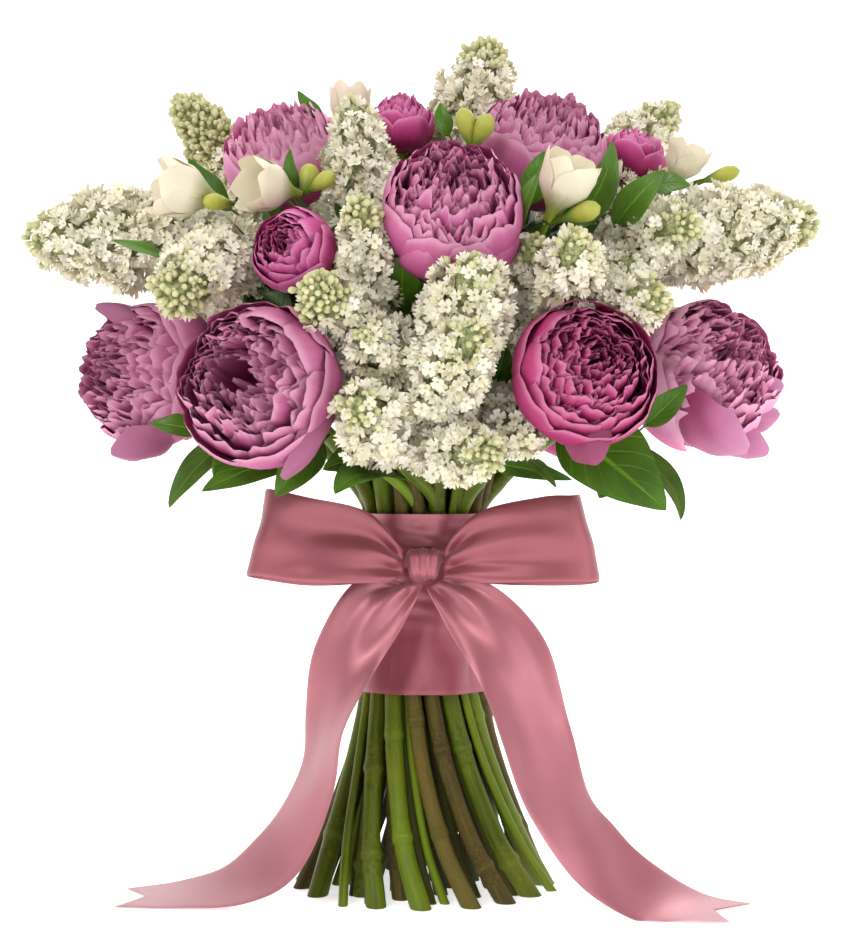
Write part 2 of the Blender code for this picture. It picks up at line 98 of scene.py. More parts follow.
# panicles that fill the bunch between the ones above: fork, tip, radius, share in bud
FILL_PANICLES = (
    ((14, -84, 296), (28, -156, 358), 25, 0.06),
    ((44, -40, 318), (60, -112, 374), 20, 0.05),
    ((-20, -50, 300), (-66, -120, 318), 19, 0.05),
    ((30, -60, 290), (60, -128, 262), 17, 0.0),
    ((-8, -70, 296), (-32, -144, 322), 19, 0.05),
    ((20, 0, 360), (24, -24, 430), 20, 0.0),
    ((-90, -10, 360), (-120, -60, 372), 20, 0.0),
    ((90, -20, 350), (120, -70, 366), 20, 0.0),
    ((90, 20, 380), (150, 60, 440), 22, 0.1),
    ((-60, 20, 380), (-130, 60, 430), 22, 0.1),
    ((0, 40, 380), (-10, 60, 470), 22, 0.1),
    ((0, 60, 330), (60, 150, 380), 22, 0.1),
    ((0, 60, 330), (-60, 150, 380), 22, 0.1),
    ((60, 40, 320), (170, 60, 340), 22, 0.1),
    ((-60, 40, 320), (-170, 60, 340), 22, 0.1),
)
# fork of a freesia spray, then each bloom or bud as tip, radius
FREESIAS = (
    ((-68, -66, 404), (((-100, -88, 408), 12), ((-50, -88, 412), 6), ((-64, -58, 422), 7))),
    ((-106, -62, 399), (((-152, -74, 409), 12), ((-122, -84, 398), 6))),
    ((68, -90, 384), (((84, -104, 420), 14), ((97, -104, 392), 7))),
    ((150, 22, 418), (((163, 12, 446), 13), ((192, 16, 430), 6))),
    ((28, -44, 432), (((22, -50, 456), 7), ((38, -52, 452), 7))),
    ((-50, 58, 456), (((-46, 62, 490), 13), ((-62, 74, 470), 7))),
)
FREESIA_BLOOM_RADIUS = 10  # anything slimmer is a bud


# --- surfaces ---
def unit(v):
    """The same direction with length one."""
    return v / np.maximum(np.linalg.norm(v, axis=-1, keepdims=True), 1e-12)


def smooth(x, low, high):
    """A soft step from 0 at low to 1 at high: 3 x squared less 2 x cubed of the share between them."""
    x = np.clip((x - low) / (high - low), 0, 1)
    return x * x * (3 - 2 * x)


def basis(axis, side):
    """Three columns: side made square to the axis, axis cross side, and the axis."""
    z = unit(np.array(axis, float))
    side = np.array(side, float)
    x = unit(side - (side @ z) * z)
    return np.stack([x, np.cross(z, x), z], axis=1)


def any_side(axis):
    """A direction that isn't close to the axis."""
    return (1.0, 0.0, 0.0) if abs(axis[0]) < 0.8 * np.linalg.norm(axis) else (0.0, 1.0, 0.0)


def curve_through(points, count):
    """Catmull-Rom: each span is the cubic whose slope at a point is half the step between its neighbours."""
    p = np.asarray(points, float)
    p = np.concatenate([2 * p[:1] - p[1:2], p, 2 * p[-1:] - p[-2:-1]])
    u = np.linspace(0, len(p) - 3, count)
    i = np.minimum(u.astype(int), len(p) - 4)
    t = (u - i).reshape((-1,) + (1,) * (p.ndim - 1))
    a, b, c, d = p[i], p[i + 1], p[i + 2], p[i + 3]
    return 0.5 * (2 * b + (c - a) * t + (2 * a - 5 * b + 4 * c - d) * t**2 + (3 * b - a - 3 * c + d) * t**3)


def mm(lengths):
    """Millimetres to metres."""
    return np.array(lengths, float) * MM


def marks_of(*parts):
    """Three numbers for each point, each of them spread over the whole patch."""
    return np.stack(np.broadcast_arrays(*parts), axis=-1)


def blade(root, bend, tip, face, rows, columns, width, lift):
    """A long thin patch. Its middle line is the parabola from root to tip that is drawn towards bend. width
    gives its half width from the way along; lift gives how far it stands off its plane, as a share of that
    width, from the ways along and across. Returns the points and the ways along and across."""
    s = np.linspace(0, 1, rows)[:, None]
    t = np.linspace(-1, 1, columns)[None, :, None]
    line = root * (1 - s) ** 2 + 2 * bend * s * (1 - s) + tip * s**2
    ahead = unit(np.gradient(line, axis=0))
    side = unit(np.cross(ahead, np.array(face, float)))
    up = np.cross(side, ahead)
    half = width(s)[:, :, None]
    points = line[:, None] + side[:, None] * (half * t) + up[:, None] * (half * lift(s[:, :, None], t))
    return points, s, t[..., 0]


class Surface:
    """Points, quads and triangles gathered from many patches, with one vector and one number at each point."""

    def __init__(self):
        self.points, self.quads, self.tris, self.marks = [], [], [], []
        self.count = 0

    def add(self, points, quads=None, tris=None, mark=None):
        points = np.asarray(points, float).reshape(-1, 3)
        self.points.append(points)
        self.marks.append(np.zeros_like(points) if mark is None else np.asarray(mark, float).reshape(-1, 3))
        if quads is not None and len(quads):
            self.quads.append(np.asarray(quads).reshape(-1, 4) + self.count)
        if tris is not None and len(tris):
            self.tris.append(np.asarray(tris).reshape(-1, 3) + self.count)
        self.count += len(points)

    def sheets(self, points, thickness, mark):
        """Thin closed leaves of tissue. points is (pieces, rows, columns, 3). The two faces stand half the
        thickness off the middle surface and meet at the rim, so the edge is sharp."""
        pieces, rows, columns = points.shape[:3]
        along, across = np.gradient(points, axis=1), np.gradient(points, axis=2)
        normal = unit(np.cross(along, across))
        i, j = np.meshgrid(np.arange(rows), np.arange(columns), indexing="ij")
        inside = (i > 0) & (i < rows - 1) & (j > 0) & (j < columns - 1)
        lift = np.where(inside, thickness / 2, 0.0)[None, :, :, None]
        front = (points + normal * lift).reshape(pieces, -1, 3)
        back = (points - normal * lift)[:, inside]
        under = np.where(inside, rows * columns + np.cumsum(inside).reshape(inside.shape) - 1, i * columns + j)
        over = i * columns + j
        quads = [(g[:-1, :-1], g[1:, :-1], g[1:, 1:], g[:-1, 1:]) for g in (over, under)]
        quads = [np.stack(q, axis=-1).reshape(-1, 4) for q in quads]
        quads = np.concatenate([quads[0], quads[1][:, ::-1]])
        step = (rows * columns + int(inside.sum())) * np.arange(pieces)[:, None, None]
        marks = mark.reshape(pieces, -1, 3)
        self.add(
            np.concatenate([front, back], axis=1),
            quads[None] + step,
            mark=np.concatenate([marks, mark[:, inside]], axis=1),
        )

    def closed_tube(self, rings, mark):
        """Rings of points joined one to the next, each end closed to its middle. rings is (rows, sides, 3)."""
        rows, sides = rings.shape[:2]
        g = np.arange(rows * sides).reshape(rows, sides)
        right = np.roll(g, -1, axis=1)
        quads = np.stack([g[:-1], right[:-1], right[1:], g[1:]], axis=-1).reshape(-1, 4)
        ends = np.stack([rings[0].mean(0), rings[-1].mean(0)])
        tris = np.concatenate(
            [
                np.stack([right[0], g[0], np.full(sides, rows * sides)], axis=-1),
                np.stack([g[-1], right[-1], np.full(sides, rows * sides + 1)], axis=-1),
            ]
        )
        marks = np.concatenate([mark.reshape(-1, 3), mark[0].mean(0)[None], mark[-1].mean(0)[None]])
        self.add(np.concatenate([rings.reshape(-1, 3), ends]), quads, tris, marks)

    def copies(self, points, quads, tris, middles, turns, sizes, mark):
        """Small shapes that share their faces: each is turned by its three columns and grown by its size."""
        placed = np.einsum("nij,nkj->nki", turns, points * sizes[:, None, None]) + middles[:, None]
        shift = points.shape[1] * np.arange(len(middles))[:, None, None]
        self.add(placed, quads + shift, tris + shift, mark)

    def build(self, name, material, slot, node=None):
        """Makes the mesh, stores the marks, gives it its material and lets it ride on the bunch."""
        points = np.concatenate(self.points)
        quads = np.concatenate(self.quads) if self.quads else np.zeros((0, 4), int)
        tris = np.concatenate(self.tris) if self.tris else np.zeros((0, 3), int)
        mesh = bpy.data.meshes.new(name)
        mesh.vertices.add(len(points))
        mesh.vertices.foreach_set("co", points.astype(np.float32).ravel())
        corners = np.concatenate([quads.ravel(), tris.ravel()]).astype(np.int32)
        mesh.loops.add(len(corners))
        mesh.loops.foreach_set("vertex_index", corners)
        starts = np.concatenate([np.arange(len(quads)) * 4, len(quads) * 4 + np.arange(len(tris)) * 3])
        mesh.polygons.add(len(starts))
        mesh.polygons.foreach_set("loop_start", starts.astype(np.int32))
        mesh.polygons.foreach_set("use_smooth", np.ones(len(starts), bool))
        mark = mesh.attributes.new("mark", "FLOAT_VECTOR", "POINT")
        mark.data.foreach_set("vector", np.concatenate(self.marks).astype(np.float32).ravel())
        mesh.update(calc_edges=True)
        mesh.validate()
        mesh.set_sharp_from_angle(angle=SHARP_ANGLE)
        obj = bpy.data.objects.new(name, mesh)
        bpy.context.scene.collection.objects.link(obj)
        mesh.materials.append(material)
        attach(obj, "root")
        if node:
            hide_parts(node)
        return obj


# --- shader wiring ---
class Wire:
    """A node output that takes part in Python arithmetic. Each operation adds one Math node."""

    def __init__(self, finish, socket):
        self.finish, self.socket = finish, socket

    def _math(self, operation, *terms):
        return self.finish.node("ShaderNodeMath", {"operation": operation}, dict(enumerate(terms)))

    def __add__(self, other):
        return self._math("ADD", self, other)

    def __radd__(self, other):
        return self._math("ADD", other, self)

    def __sub__(self, other):
        return self._math("SUBTRACT", self, other)

    def __rsub__(self, other):
        return self._math("SUBTRACT", other, self)

    def __mul__(self, other):
        return self._math("MULTIPLY", self, other)

    def __rmul__(self, other):
        return self._math("MULTIPLY", other, self)

    def __truediv__(self, other):
        return self._math("DIVIDE", self, other)

    def __pow__(self, other):
        return self._math("POWER", self, other)

    def __abs__(self):
        return self._math("ABSOLUTE", self)

    def sine(self):
        return self._math("SINE", self)

    def step(self, low, high):
        """A soft step from 0 at low to 1 at high."""
        settings = {"interpolation_type": "SMOOTHSTEP"}
        return self.finish.node("ShaderNodeMapRange", settings, {0: self, 1: low, 2: high, 3: 0.0, 4: 1.0})


class Finish:
    """One material: a Principled shader, and the nodes that feed it."""

    def __init__(self, name, roughness, **constants):
        self.material = bpy.data.materials.new(name)
        self.material.use_nodes = True
        self.tree = self.material.node_tree
        self.shader = self.tree.nodes["Principled BSDF"]
        self.output = self.tree.nodes["Material Output"]
        self.shader.inputs["Roughness"].default_value = roughness
        for socket, value in constants.items():
            self.shader.inputs[socket.replace("_", " ")].default_value = value

    def node(self, kind, settings=None, inputs=None, out=0):
        """Any node: its settings are set first, then the values or links of its sockets."""
        made = self.tree.nodes.new(kind)
        for name, value in (settings or {}).items():
            setattr(made, name, value)
        for key, value in (inputs or {}).items():
            if isinstance(value, Wire):
                self.tree.links.new(value.socket, made.inputs[key])
            else:
                made.inputs[key].default_value = value
        return Wire(self, made.outputs[out])

    def place(self):
        return self.node("ShaderNodeTexCoord", out="Object")

    def marks(self):
        """The three numbers kept at each point of the piece."""
        found = self.node("ShaderNodeAttribute", {"attribute_name": "mark"}, out="Vector")
        parts = self.node("ShaderNodeSeparateXYZ", inputs={0: found})
        return [Wire(self, parts.socket.node.outputs[i]) for i in range(3)]

    def vector(self, x, y, z):
        return self.node("ShaderNodeCombineXYZ", inputs={0: x, 1: y, 2: z})

    def noise(self, where, scale, detail=2.0, roughness=0.5):
        return self.node(
            "ShaderNodeTexNoise", inputs={"Vector": where, "Scale": scale, "Detail": detail, "Roughness": roughness}
        )

    def mix(self, share, first, second):
        """Two colours by a share from 0 to 1."""
        first = first if isinstance(first, Wire) else (*first, 1.0)
        second = second if isinstance(second, Wire) else (*second, 1.0)
        return self.node("ShaderNodeMix", {"data_type": "RGBA"}, {0: share, 6: first, 7: second}, out=2)

    def bump(self, height, distance, strength=1.0):
        """Relief of the given depth in metres."""
        return self.node("ShaderNodeBump", inputs={"Strength": strength, "Distance": distance, "Height": height})

    def feed(self, socket, wire):
        self.tree.links.new(wire.socket, self.shader.inputs[socket])

    def let_light_through(self, colour_wire, share):
        """Thin tissue: a constant share of the light goes through to the other side."""
        soft = self.node("ShaderNodeBsdfTranslucent", inputs={"Color": colour_wire})
        both = self.tree.nodes.new("ShaderNodeMixShader")
        both.inputs[0].default_value = share
        self.tree.links.new(self.shader.outputs[0], both.inputs[1])
        self.tree.links.new(soft.socket, both.inputs[2])
        self.tree.links.new(both.outputs[0], self.output.inputs["Surface"])


def petal_finish(name, deep, middle, light, rim):
    """Petal tissue: deep at the foot, light at the rim, with fine streaks along each petal. The deep foot is partly the
    petal's own colour and partly painted shade for the depth of the bloom; the light rim is partly its own colour and
    partly painted light.
    mark is (across, along, chance). The chance value of a petal that stands clear of its bloom mixes it a little
    towards a dull grey green: painted shade."""
    f = Finish(name, 0.55, Specular_IOR_Level=0.3)
    across, along, chance = f.marks()
    streak = f.noise(f.vector(across * 9.0, along * 1.2, chance * 37.0), 2.2, 3.0, 0.6)
    cloud = f.noise(f.place(), 60.0, 2.0)
    level = along + (streak - 0.5) * 0.10 + (cloud - 0.5) * 0.14 + (chance - 0.5) * 0.10
    # deep to light along the petal: painted shade at the foot and painted light at the rim, over the petal's own deeper
    # base and paler edge
    colour = f.mix(level.step(0.45, 0.86), deep, middle)
    colour = f.mix(level.step(0.80, 1.02), colour, light)
    colour = f.mix(along.step(0.93, 1.0) * 0.75, colour, rim)
    # petals that stand clear of the bloom turn a little grey green: painted shade
    colour = f.mix(chance.step(1.4, 1.6) * 0.28, colour, (0.02, 0.14, 0.10))
    f.feed("Base Color", colour)
    f.feed("Normal", f.bump(streak, 0.0003, 0.35))
    f.let_light_through(colour, 0.22)
    return f.material


# --- settings ---
def colour_property(name, description, default):
    return FloatVectorProperty(
        name=name, description=description, subtype="COLOR", size=3, min=0.0, max=1.0, default=default
    )


def length_property(name, description, default, low=0.0, high=1.0):
    return FloatProperty(
        name=name, description=description, default=default, min=low, max=high, subtype="DISTANCE", unit="LENGTH"
    )


class PeonySettings(PropertyGroup):
    """Sizes and colours of the peony blooms."""

    thickness: length_property("Petal thickness", "Thickness of a petal", 0.0006, 0.0001, 0.003)
    ruffle: FloatProperty(name="Ruffle", description="How far petal rims wave", default=1.0, min=0.0, max=3.0)
    deep: colour_property("Deep pink", "Colour at the foot of a petal", (0.42, 0.032, 0.165))
    middle: colour_property("Pink", "Colour of most of a petal", (0.53, 0.122, 0.292))
    light: colour_property("Light pink", "Colour towards the rim", (0.61, 0.205, 0.37))
    rim: colour_property("Rim pink", "Colour of the rim itself", (0.77, 0.40, 0.56))


class LilacSettings(PropertyGroup):
    """Sizes and colours of the lilac."""

    floret: length_property("Floret radius", "Half the width of an open floret", 0.0061, 0.002, 0.02)
    spacing: length_property("Floret spacing", "Distance from floret to floret", 0.0063, 0.002, 0.02)
    white: colour_property("Cream white", "Colour of open florets", (0.93, 0.90, 0.79))
    bud: colour_property("Bud green", "Colour of closed buds", (0.62, 0.62, 0.30))


class FreesiaSettings(PropertyGroup):
    """Colours of the freesia."""

    cream: colour_property("Cream", "Colour of the tepals", (0.86, 0.79, 0.62))
    throat: colour_property("Throat", "Yellow green of the throat and buds", (0.34, 0.42, 0.05))


class GreenSettings(PropertyGroup):
    """Stems and leaves."""

    sides: IntProperty(name="Stem sides", description="Facets round a stem", default=16, min=6, max=48)
    stem: colour_property("Stem green", "Colour of a peony stem", (0.084, 0.120, 0.003))
    bark: colour_property("Bark", "Colour of a lilac stem", (0.076, 0.058, 0.009))
    leaf: colour_property("Leaf green", "Colour of a leaf", (0.073, 0.185, 0.007))


class RibbonSettings(PropertyGroup):
    """Ribbon and bow."""

    width: length_property("Ribbon width", "Width of the ribbon as bought", 0.050, 0.01, 0.1)
    thickness: length_property("Ribbon thickness", "Thickness of the ribbon", 0.0008, 0.0002, 0.002)
    satin: colour_property("Satin", "Colour of the ribbon", (0.345, 0.088, 0.116))


class StageSettings(PropertyGroup):
    """Floor, camera and lights."""

    floor: colour_property("Floor", "Colour of the floor", (0.92, 0.92, 0.91))
    distance: length_property("Camera distance", "From the camera to the middle of the bunch", 1.2, 0.3, 5.0)
    zoom: FloatProperty(name="Zoom", description="Lens length over sensor width", default=2000 / 932, min=0.5, max=8.0)
    height: length_property("Camera height", "Height of the camera", 0.25, 0.0, 3.0)


# --- peonies ---
# a layer of petals: rim radius, how many, half width, rim wave, notch depth, curl of the tip (+ outwards),
# cupping of the sides (+ outwards), roundness of the outline. Lengths are shares of the bloom's radius.
FULL_LAYERS = (
    (0.99, 6, 0.74, 0.020, 0.02, 0.00, -0.07, 0.30),
    (0.93, 7, 0.62, 0.028, 0.05, -0.08, -0.06, 0.26),
    (0.85, 9, 0.46, 0.040, 0.11, -0.10, -0.03, 0.18),
    (0.77, 10, 0.40, 0.045, 0.15, -0.09, -0.02, 0.14),
    (0.69, 10, 0.37, 0.050, 0.17, -0.08, -0.01, 0.12),
    (0.61, 10, 0.34, 0.050, 0.18, -0.07, 0.00, 0.12),
    (0.53, 9, 0.32, 0.050, 0.18, -0.06, 0.01, 0.12),
    (0.45, 8, 0.30, 0.050, 0.18, -0.05, 0.02, 0.12),
    (0.37, 8, 0.27, 0.045, 0.18, -0.04, 0.02, 0.12),
    (0.29, 7, 0.24, 0.040, 0.17, -0.03, 0.02, 0.12),
    (0.21, 6, 0.20, 0.035, 0.16, -0.02, 0.02, 0.12),
    (0.13, 5, 0.16, 0.030, 0.15, 0.0, 0.02, 0.12),
    (0.06, 3, 0.11, 0.020, 0.12, 0.0, 0.02, 0.12),
)
BUD_LAYERS = (
    (0.97, 5, 0.84, 0.020, 0.02, -0.06, -0.08, 0.30),
    (0.88, 5, 0.72, 0.030, 0.06, -0.14, -0.07, 0.26),
    (0.76, 6, 0.54, 0.040, 0.10, -0.14, -0.03, 0.22),
    (0.63, 6, 0.46, 0.045, 0.13, -0.12, -0.01, 0.18),
    (0.50, 6, 0.38, 0.045, 0.14, -0.09, 0.00, 0.16),
    (0.37, 5, 0.32, 0.040, 0.15, -0.06, 0.01, 0.14),
    (0.24, 5, 0.25, 0.035, 0.15, -0.03, 0.02, 0.14),
    (0.11, 3, 0.16, 0.030, 0.12, 0.0, 0.02, 0.14),
)
PETAL_ROWS, PETAL_COLUMNS = 12, 19


def petal_table(layers, rng, hollow, dome, spread):
    """One row of numbers for each petal. Its rim stands on a dome of the given height with a hollow in it."""
    rows = []
    for k, (rim, count, half, wave, notch, curl, cup, rounding) in enumerate(layers):
        turn = k * GOLDEN + rng.uniform(0, 6.28)
        loose = min(1.0, 0.3 * k)
        for i in range(count):
            around = turn + TURN * (i + loose * rng.uniform(-0.34, 0.34)) / count
            radius = rim * (1 + loose * rng.uniform(-0.09, 0.08))
            height = dome * math.sqrt(max(0.0, 1 - (radius / 1.06) ** 2))
            height -= hollow * math.exp(-((radius / spread) ** 2))
            height += loose * rng.uniform(-0.10, 0.07)
            rows.append(
                (
                    around,
                    radius,
                    height,
                    half * rng.uniform(0.82, 1.2),
                    wave * rng.uniform(0.6, 1.8),
                    notch * rng.uniform(0.5, 1.5),
                    curl + loose * rng.uniform(-0.07, 0.06),
                    cup,
                    rounding,
                    rng.uniform(0, 6.28),
                    rng.uniform(0, 6.28),
                    rng.uniform(0, 1),
                )
            )
    return np.array(rows)


def bezier(p0, p1, p2, p3, t):
    """Cubic through p0 and p3 that leaves towards p1 and arrives from p2."""
    return p0 * (1 - t) ** 3 + 3 * p1 * t * (1 - t) ** 2 + 3 * p2 * t**2 * (1 - t) + p3 * t**3


def petal_patches(table, ruffle, offset):
    """Every petal of a bloom at once, in shares of its radius. Along a petal its distance from the axis and
    its height follow a cubic from the foot out round the cup and up to the rim. Across, it turns about the
    axis by its half width over that distance. The outline is cut back by a power of the way across and by
    rounded lobes with sharp notches between them; the rim moves in and out by sine waves."""
    col = [table[:, i][:, None, None] for i in range(table.shape[1])]
    around, rim, height, half, wave, notch, curl, cup, rounding, chance1, chance2, chance3 = col
    s = np.linspace(0.0, 1.0, PETAL_ROWS)[None, :, None] ** 0.62
    t = np.linspace(-1.0, 1.0, PETAL_COLUMNS)[None, None, :]
    lobes = 0.62 * (1 - np.abs(np.cos((1.1 + 0.35 * np.sin(chance2)) * math.pi * t / 2 * 1.6 + chance1)) ** 0.7)
    lobes = lobes + 0.38 * (1 - np.abs(np.cos(2.9 * math.pi * t / 2 * 1.5 + chance2)) ** 0.7)
    cut = rounding * np.abs(t) ** 2.8 + notch * lobes
    along = s - cut * s**2.5
    reach = bezier(0.05, 0.50 * rim + 0.30, 1.14 * rim + 0.10, rim, along)
    up = bezier(-0.86, -0.90 + 0.16 * (1 - rim), np.minimum(height - 0.62, -0.1), height, along)
    width = half * (0.30 + 0.70 * smooth(s, 0.0, 0.65)) * (1 - 0.08 * s**4)
    angle = around + width * t / np.maximum(reach, 0.26)
    ripple = 0.7 * np.sin(1.5 * math.pi * t + chance1) + 0.3 * np.sin(3.7 * math.pi * t + chance2) * s**3
    frill = 0.30 * np.sin(5.3 * math.pi * t + chance1 + 2 * chance2) * s**9
    shift = ruffle * wave * (s**3 * ripple + frill) + curl * s**5 + cup * t**2 * s**2
    reach = np.maximum(reach + shift, 0.01)
    x = reach * np.cos(angle) + offset[0] * (1 - rim) * s**2
    y = reach * np.sin(angle) + offset[1] * (1 - rim) * s**2
    z = up + ruffle * wave * (0.5 * s**3 * np.cos(2.0 * math.pi * t + chance2) + 0.5 * frill) + 0 * angle
    mark = np.stack([t + 0 * x, s + 0 * x, chance3 + 0 * x], axis=-1)
    return np.stack([x, y, z], axis=-1), mark


def extra_petal(around, rim, height, half, rounding, curl=0.0, wave=0.02, notch=0.02, cup=-0.05, chance=0.5):
    """A single petal with its own place, for the few that stand out of the layers."""
    return (around, rim, height, half, wave, notch, curl, cup, rounding, chance * 5, chance * 3, chance)


GUARD_1 = ((0.5, 0.97, 0.42, 0.74, 0.30, -0.20), (1.35, 0.98, 0.42, 0.70, 0.30, -0.22))
BLOOM_FORMS = (
    # layers, dome height, depth and spread of the hollow, its offset, width, notch, seed, finish, extra petals
    (FULL_LAYERS[:10], 0.62, 0.62, 0.40, (-0.40, 0.22), 1.1, 1.0, 11, "pink",
        GUARD_1 + ((-0.25, 0.98, 0.34, 0.60, 0.34, -0.14), (-1.2, 0.12, 0.02, 0.15, 0.20, 0.0))),
    (FULL_LAYERS, 0.64, 0.20, 0.36, (0.08, 0.12), 1.3, 0.6, 12, "deep",
        ((3.1, 0.97, 0.45, 0.60, 0.30, -0.18), (2.3, 0.97, 0.42, 0.60, 0.30, -0.18))),
    (FULL_LAYERS[1:], 0.74, 0.20, 0.30, (0.00, 0.10), 1.15, 1.0, 13, "rose",
        ((-1.35, 0.98, 0.30, 0.66, 0.34, -0.12), (-2.0, 0.98, 0.20, 0.5, 0.34, -0.10),
            (-0.7, 0.98, 0.10, 0.5, 0.34, -0.10))),
    (FULL_LAYERS[1:], 0.72, 0.20, 0.30, (-0.15, 0.10), 1.2, 1.0, 14, "pink",
        ((-0.4, 1.0, 0.30, 0.8, 0.34, -0.05), (0.5, 1.0, 0.30, 0.8, 0.34, -0.05))),
    (FULL_LAYERS[1:], 0.70, 0.40, 0.24, (0.10, 0.16), 1.15, 1.0, 15, "pale",
        ((-2.4, 0.99, 0.15, 0.7, 0.34, -0.05), (2.9, 0.99, 0.2, 0.6, 0.34, -0.05))),
    (FULL_LAYERS[1:], 0.74, 0.10, 0.30, (0.00, 0.00), 1.1, 1.2, 16, "pale", ()),
    (FULL_LAYERS[1:], 0.74, 0.12, 0.30, (0.10, 0.00), 1.1, 1.0, 17, "pink",
        ((-2.2, 1.0, 0.42, 0.8, 0.34, -0.05), (-1.4, 1.0, 0.30, 0.7, 0.34, -0.05))),
    (BUD_LAYERS, 0.70, 0.40, 0.34, (-0.12, 0.10), 1.1, 0.6, 18, "magenta",
        ((0.6, 0.98, 0.50, 0.80, 0.30, -0.42), (1.5, 0.98, 0.50, 0.80, 0.30, -0.30))),
    (BUD_LAYERS, 0.84, 0.10, 0.25, (0.00, 0.00), 1.0, 1.2, 19, "magenta", ()),
    (BUD_LAYERS, 0.84, 0.10, 0.25, (0.00, 0.00), 1.0, 1.0, 20, "magenta", ()),
    (FULL_LAYERS, 0.66, 0.20, 0.30, (0.10, 0.00), 1.1, 1.0, 21, "pink", ()),
    (FULL_LAYERS, 0.66, 0.20, 0.30, (-0.10, 0.10), 1.1, 1.0, 22, "rose", ()),
)
BLADE_SHADE_MARK = 2.0  # the chance value that marks a petal standing clear of its bloom; the petal finish mixes such a petal towards grey green as painted shade
# petals that stand clear of a bloom: bloom, root, bend, tip, the way the hollow side looks, half width
BLADES = (
    (1, (-50, -130, 306), (-46, -150, 268), (-74, -140, 243), (-0.5, 0.8, 0.3), 9),
    (2, (80, -118, 288), (84, -148, 262), (93, -140, 251), (0.1, 0.9, 0.4), 13),
    (4, (-142, -18, 330), (-168, -30, 344), (-193, -22, 345), (0.2, 0.6, -0.8), 11),
    (4, (-136, -30, 276), (-158, -50, 254), (-181, -38, 256), (0.1, 0.6, 0.8), 16),
    (5, (146, -44, 292), (158, -68, 264), (186, -50, 258), (0.0, 0.8, 0.6), 16),
    (5, (172, -24, 292), (200, -34, 288), (212, -22, 298), (-0.3, 0.8, 0.3), 11),
    (5, (170, -24, 278), (198, -32, 270), (210, -20, 281), (-0.2, 0.8, 0.5), 11),
    (5, (166, -26, 274), (186, -38, 256), (202, -26, 257), (0.0, 0.7, 0.7), 12),
)


def petal_blade(root, bend, tip, face, half):
    """A long petal. Its half width is near the square root of a sine of the way along, with a wavy rim. Its
    sides bend towards the way its hollow side looks by the square of the way across, and wave a little."""

    def width(s):
        return half * np.sin(math.pi * (0.14 + 0.83 * s**1.1)) ** 0.55 * (1 + 0.06 * np.sin(11 * s + half) * s)

    def lift(s, t):
        return 0.42 * t**2 + 0.10 * np.sin(4 * t + 6 * s + half) + 0.10 * t**2 * np.sin(13 * s)

    points, s, t = blade(root, bend, tip, face, 16, 13, width, lift)
    # the way along stays low, so a long petal keeps the deeper petal colours: painted shade
    return points, marks_of(t, 0.27 + 0.46 * s + 0.08 * t**4, BLADE_SHADE_MARK)


class BUNCH_OT_peonies(Operator):
    """Makes every peony bloom, petal by petal"""

    bl_idname = "bunch.peonies"
    bl_label = "Peony blooms"

    def execute(self, context):
        settings = context.scene.bunch_peony
        deep, middle, light, rim = (np.array(c) for c in (settings.deep, settings.middle, settings.light, settings.rim))
        finishes = {
            "pink": petal_finish("peony_pink", deep, middle, light, rim),
            "rose": petal_finish("peony_rose", deep, middle * (1.1, 1.0, 1.1), light * (1.1, 1.05, 1.1), rim),
            "deep": petal_finish(
                "peony_deep",
                deep * 0.8,
                middle * (0.82, 0.27, 0.54),
                light * (0.88, 0.34, 0.60),
                rim * (0.88, 0.62, 0.76),
            ),
            # a lighter copy of the pink colours: partly paler blooms, partly painted light that lifts a bloom out of
            # the shade of its own hollow
            "pale": petal_finish(
                "peony_pale", deep * 1.6, middle * (1.5, 2.2, 1.75), light * (1.42, 2.2, 1.75), rim * 1.15
            ),
            "magenta": petal_finish(
                "peony_magenta", (0.24, 0.004, 0.07), (0.52, 0.050, 0.22), (0.68, 0.14, 0.38), (0.76, 0.30, 0.52)
            ),
        }
        for i, ((middle, radius, facing), form) in enumerate(zip(PEONIES, BLOOM_FORMS), 1):
            layers, dome, hollow, spread, offset, wide, cut, seed, finish, extras = form
            table = petal_table(layers, np.random.default_rng(seed), hollow, dome, spread)
            table[:, 3] *= wide
            table[:, 5] *= cut
            if extras:
                table = np.concatenate([table, [extra_petal(*e) for e in extras]])
            points, mark = petal_patches(table, settings.ruffle, offset)
            turn = basis(facing, (1, 0, 0) if facing[1] < 0 else (-1, 0, 0))
            points = mm(middle) + radius * MM * (0.99 / layers[0][0]) * points @ turn.T
            surface = Surface()
            surface.sheets(points, settings.thickness, mark)
            for _, *line, face, half in (b for b in BLADES if b[0] == i):
                points, mark = petal_blade(*(mm(p) for p in line), face, half * MM)
                surface.sheets(points[None], settings.thickness, mark[None])
            slot = "peony_magenta" if finish == "magenta" else "peony_pink"
            surface.build(f"bloom_{i:02d}", finishes[finish], slot, f"peony_bloom_{i:02d}")
        return {"FINISHED"}


# --- lilac ---
def floret_shape():
    """An open floret, radius 1: four cupped petals round a small throat. The outline's distance from the middle
    is nearly 1 over each petal and about half in the notch between two."""
    turn = np.radians(np.array([-45, -29, 0, 29] * 4) + np.repeat([0, 90, 180, 270], 4))
    reach = np.tile([0.50, 0.95, 1.0, 0.95], 4)
    rise = np.tile([0.02, 0.26, 0.10, 0.26], 4)
    inner = np.tile([0.26, 0.36, 0.40, 0.36], 4)
    ring1 = np.stack([inner * np.cos(turn), inner * np.sin(turn), np.full(16, -0.04)], axis=-1)
    ring2 = np.stack([reach * np.cos(turn), reach * np.sin(turn), rise], axis=-1)
    points = np.concatenate([[[0, 0, -0.16]], ring1, ring2, [[0, 0, -0.42]]])
    a = 1 + np.arange(16)
    b = 1 + np.roll(np.arange(16), -1)
    tris = np.concatenate([np.stack([a * 0, a, b], -1), np.stack([b + 16, a + 16, a * 0 + 33], -1)])
    quads = np.stack([a, a + 16, b + 16, b], axis=-1)
    mark = np.concatenate([[0.0], np.full(16, 0.45), np.full(16, 1.0), [0.5]])
    return points, quads, tris, mark


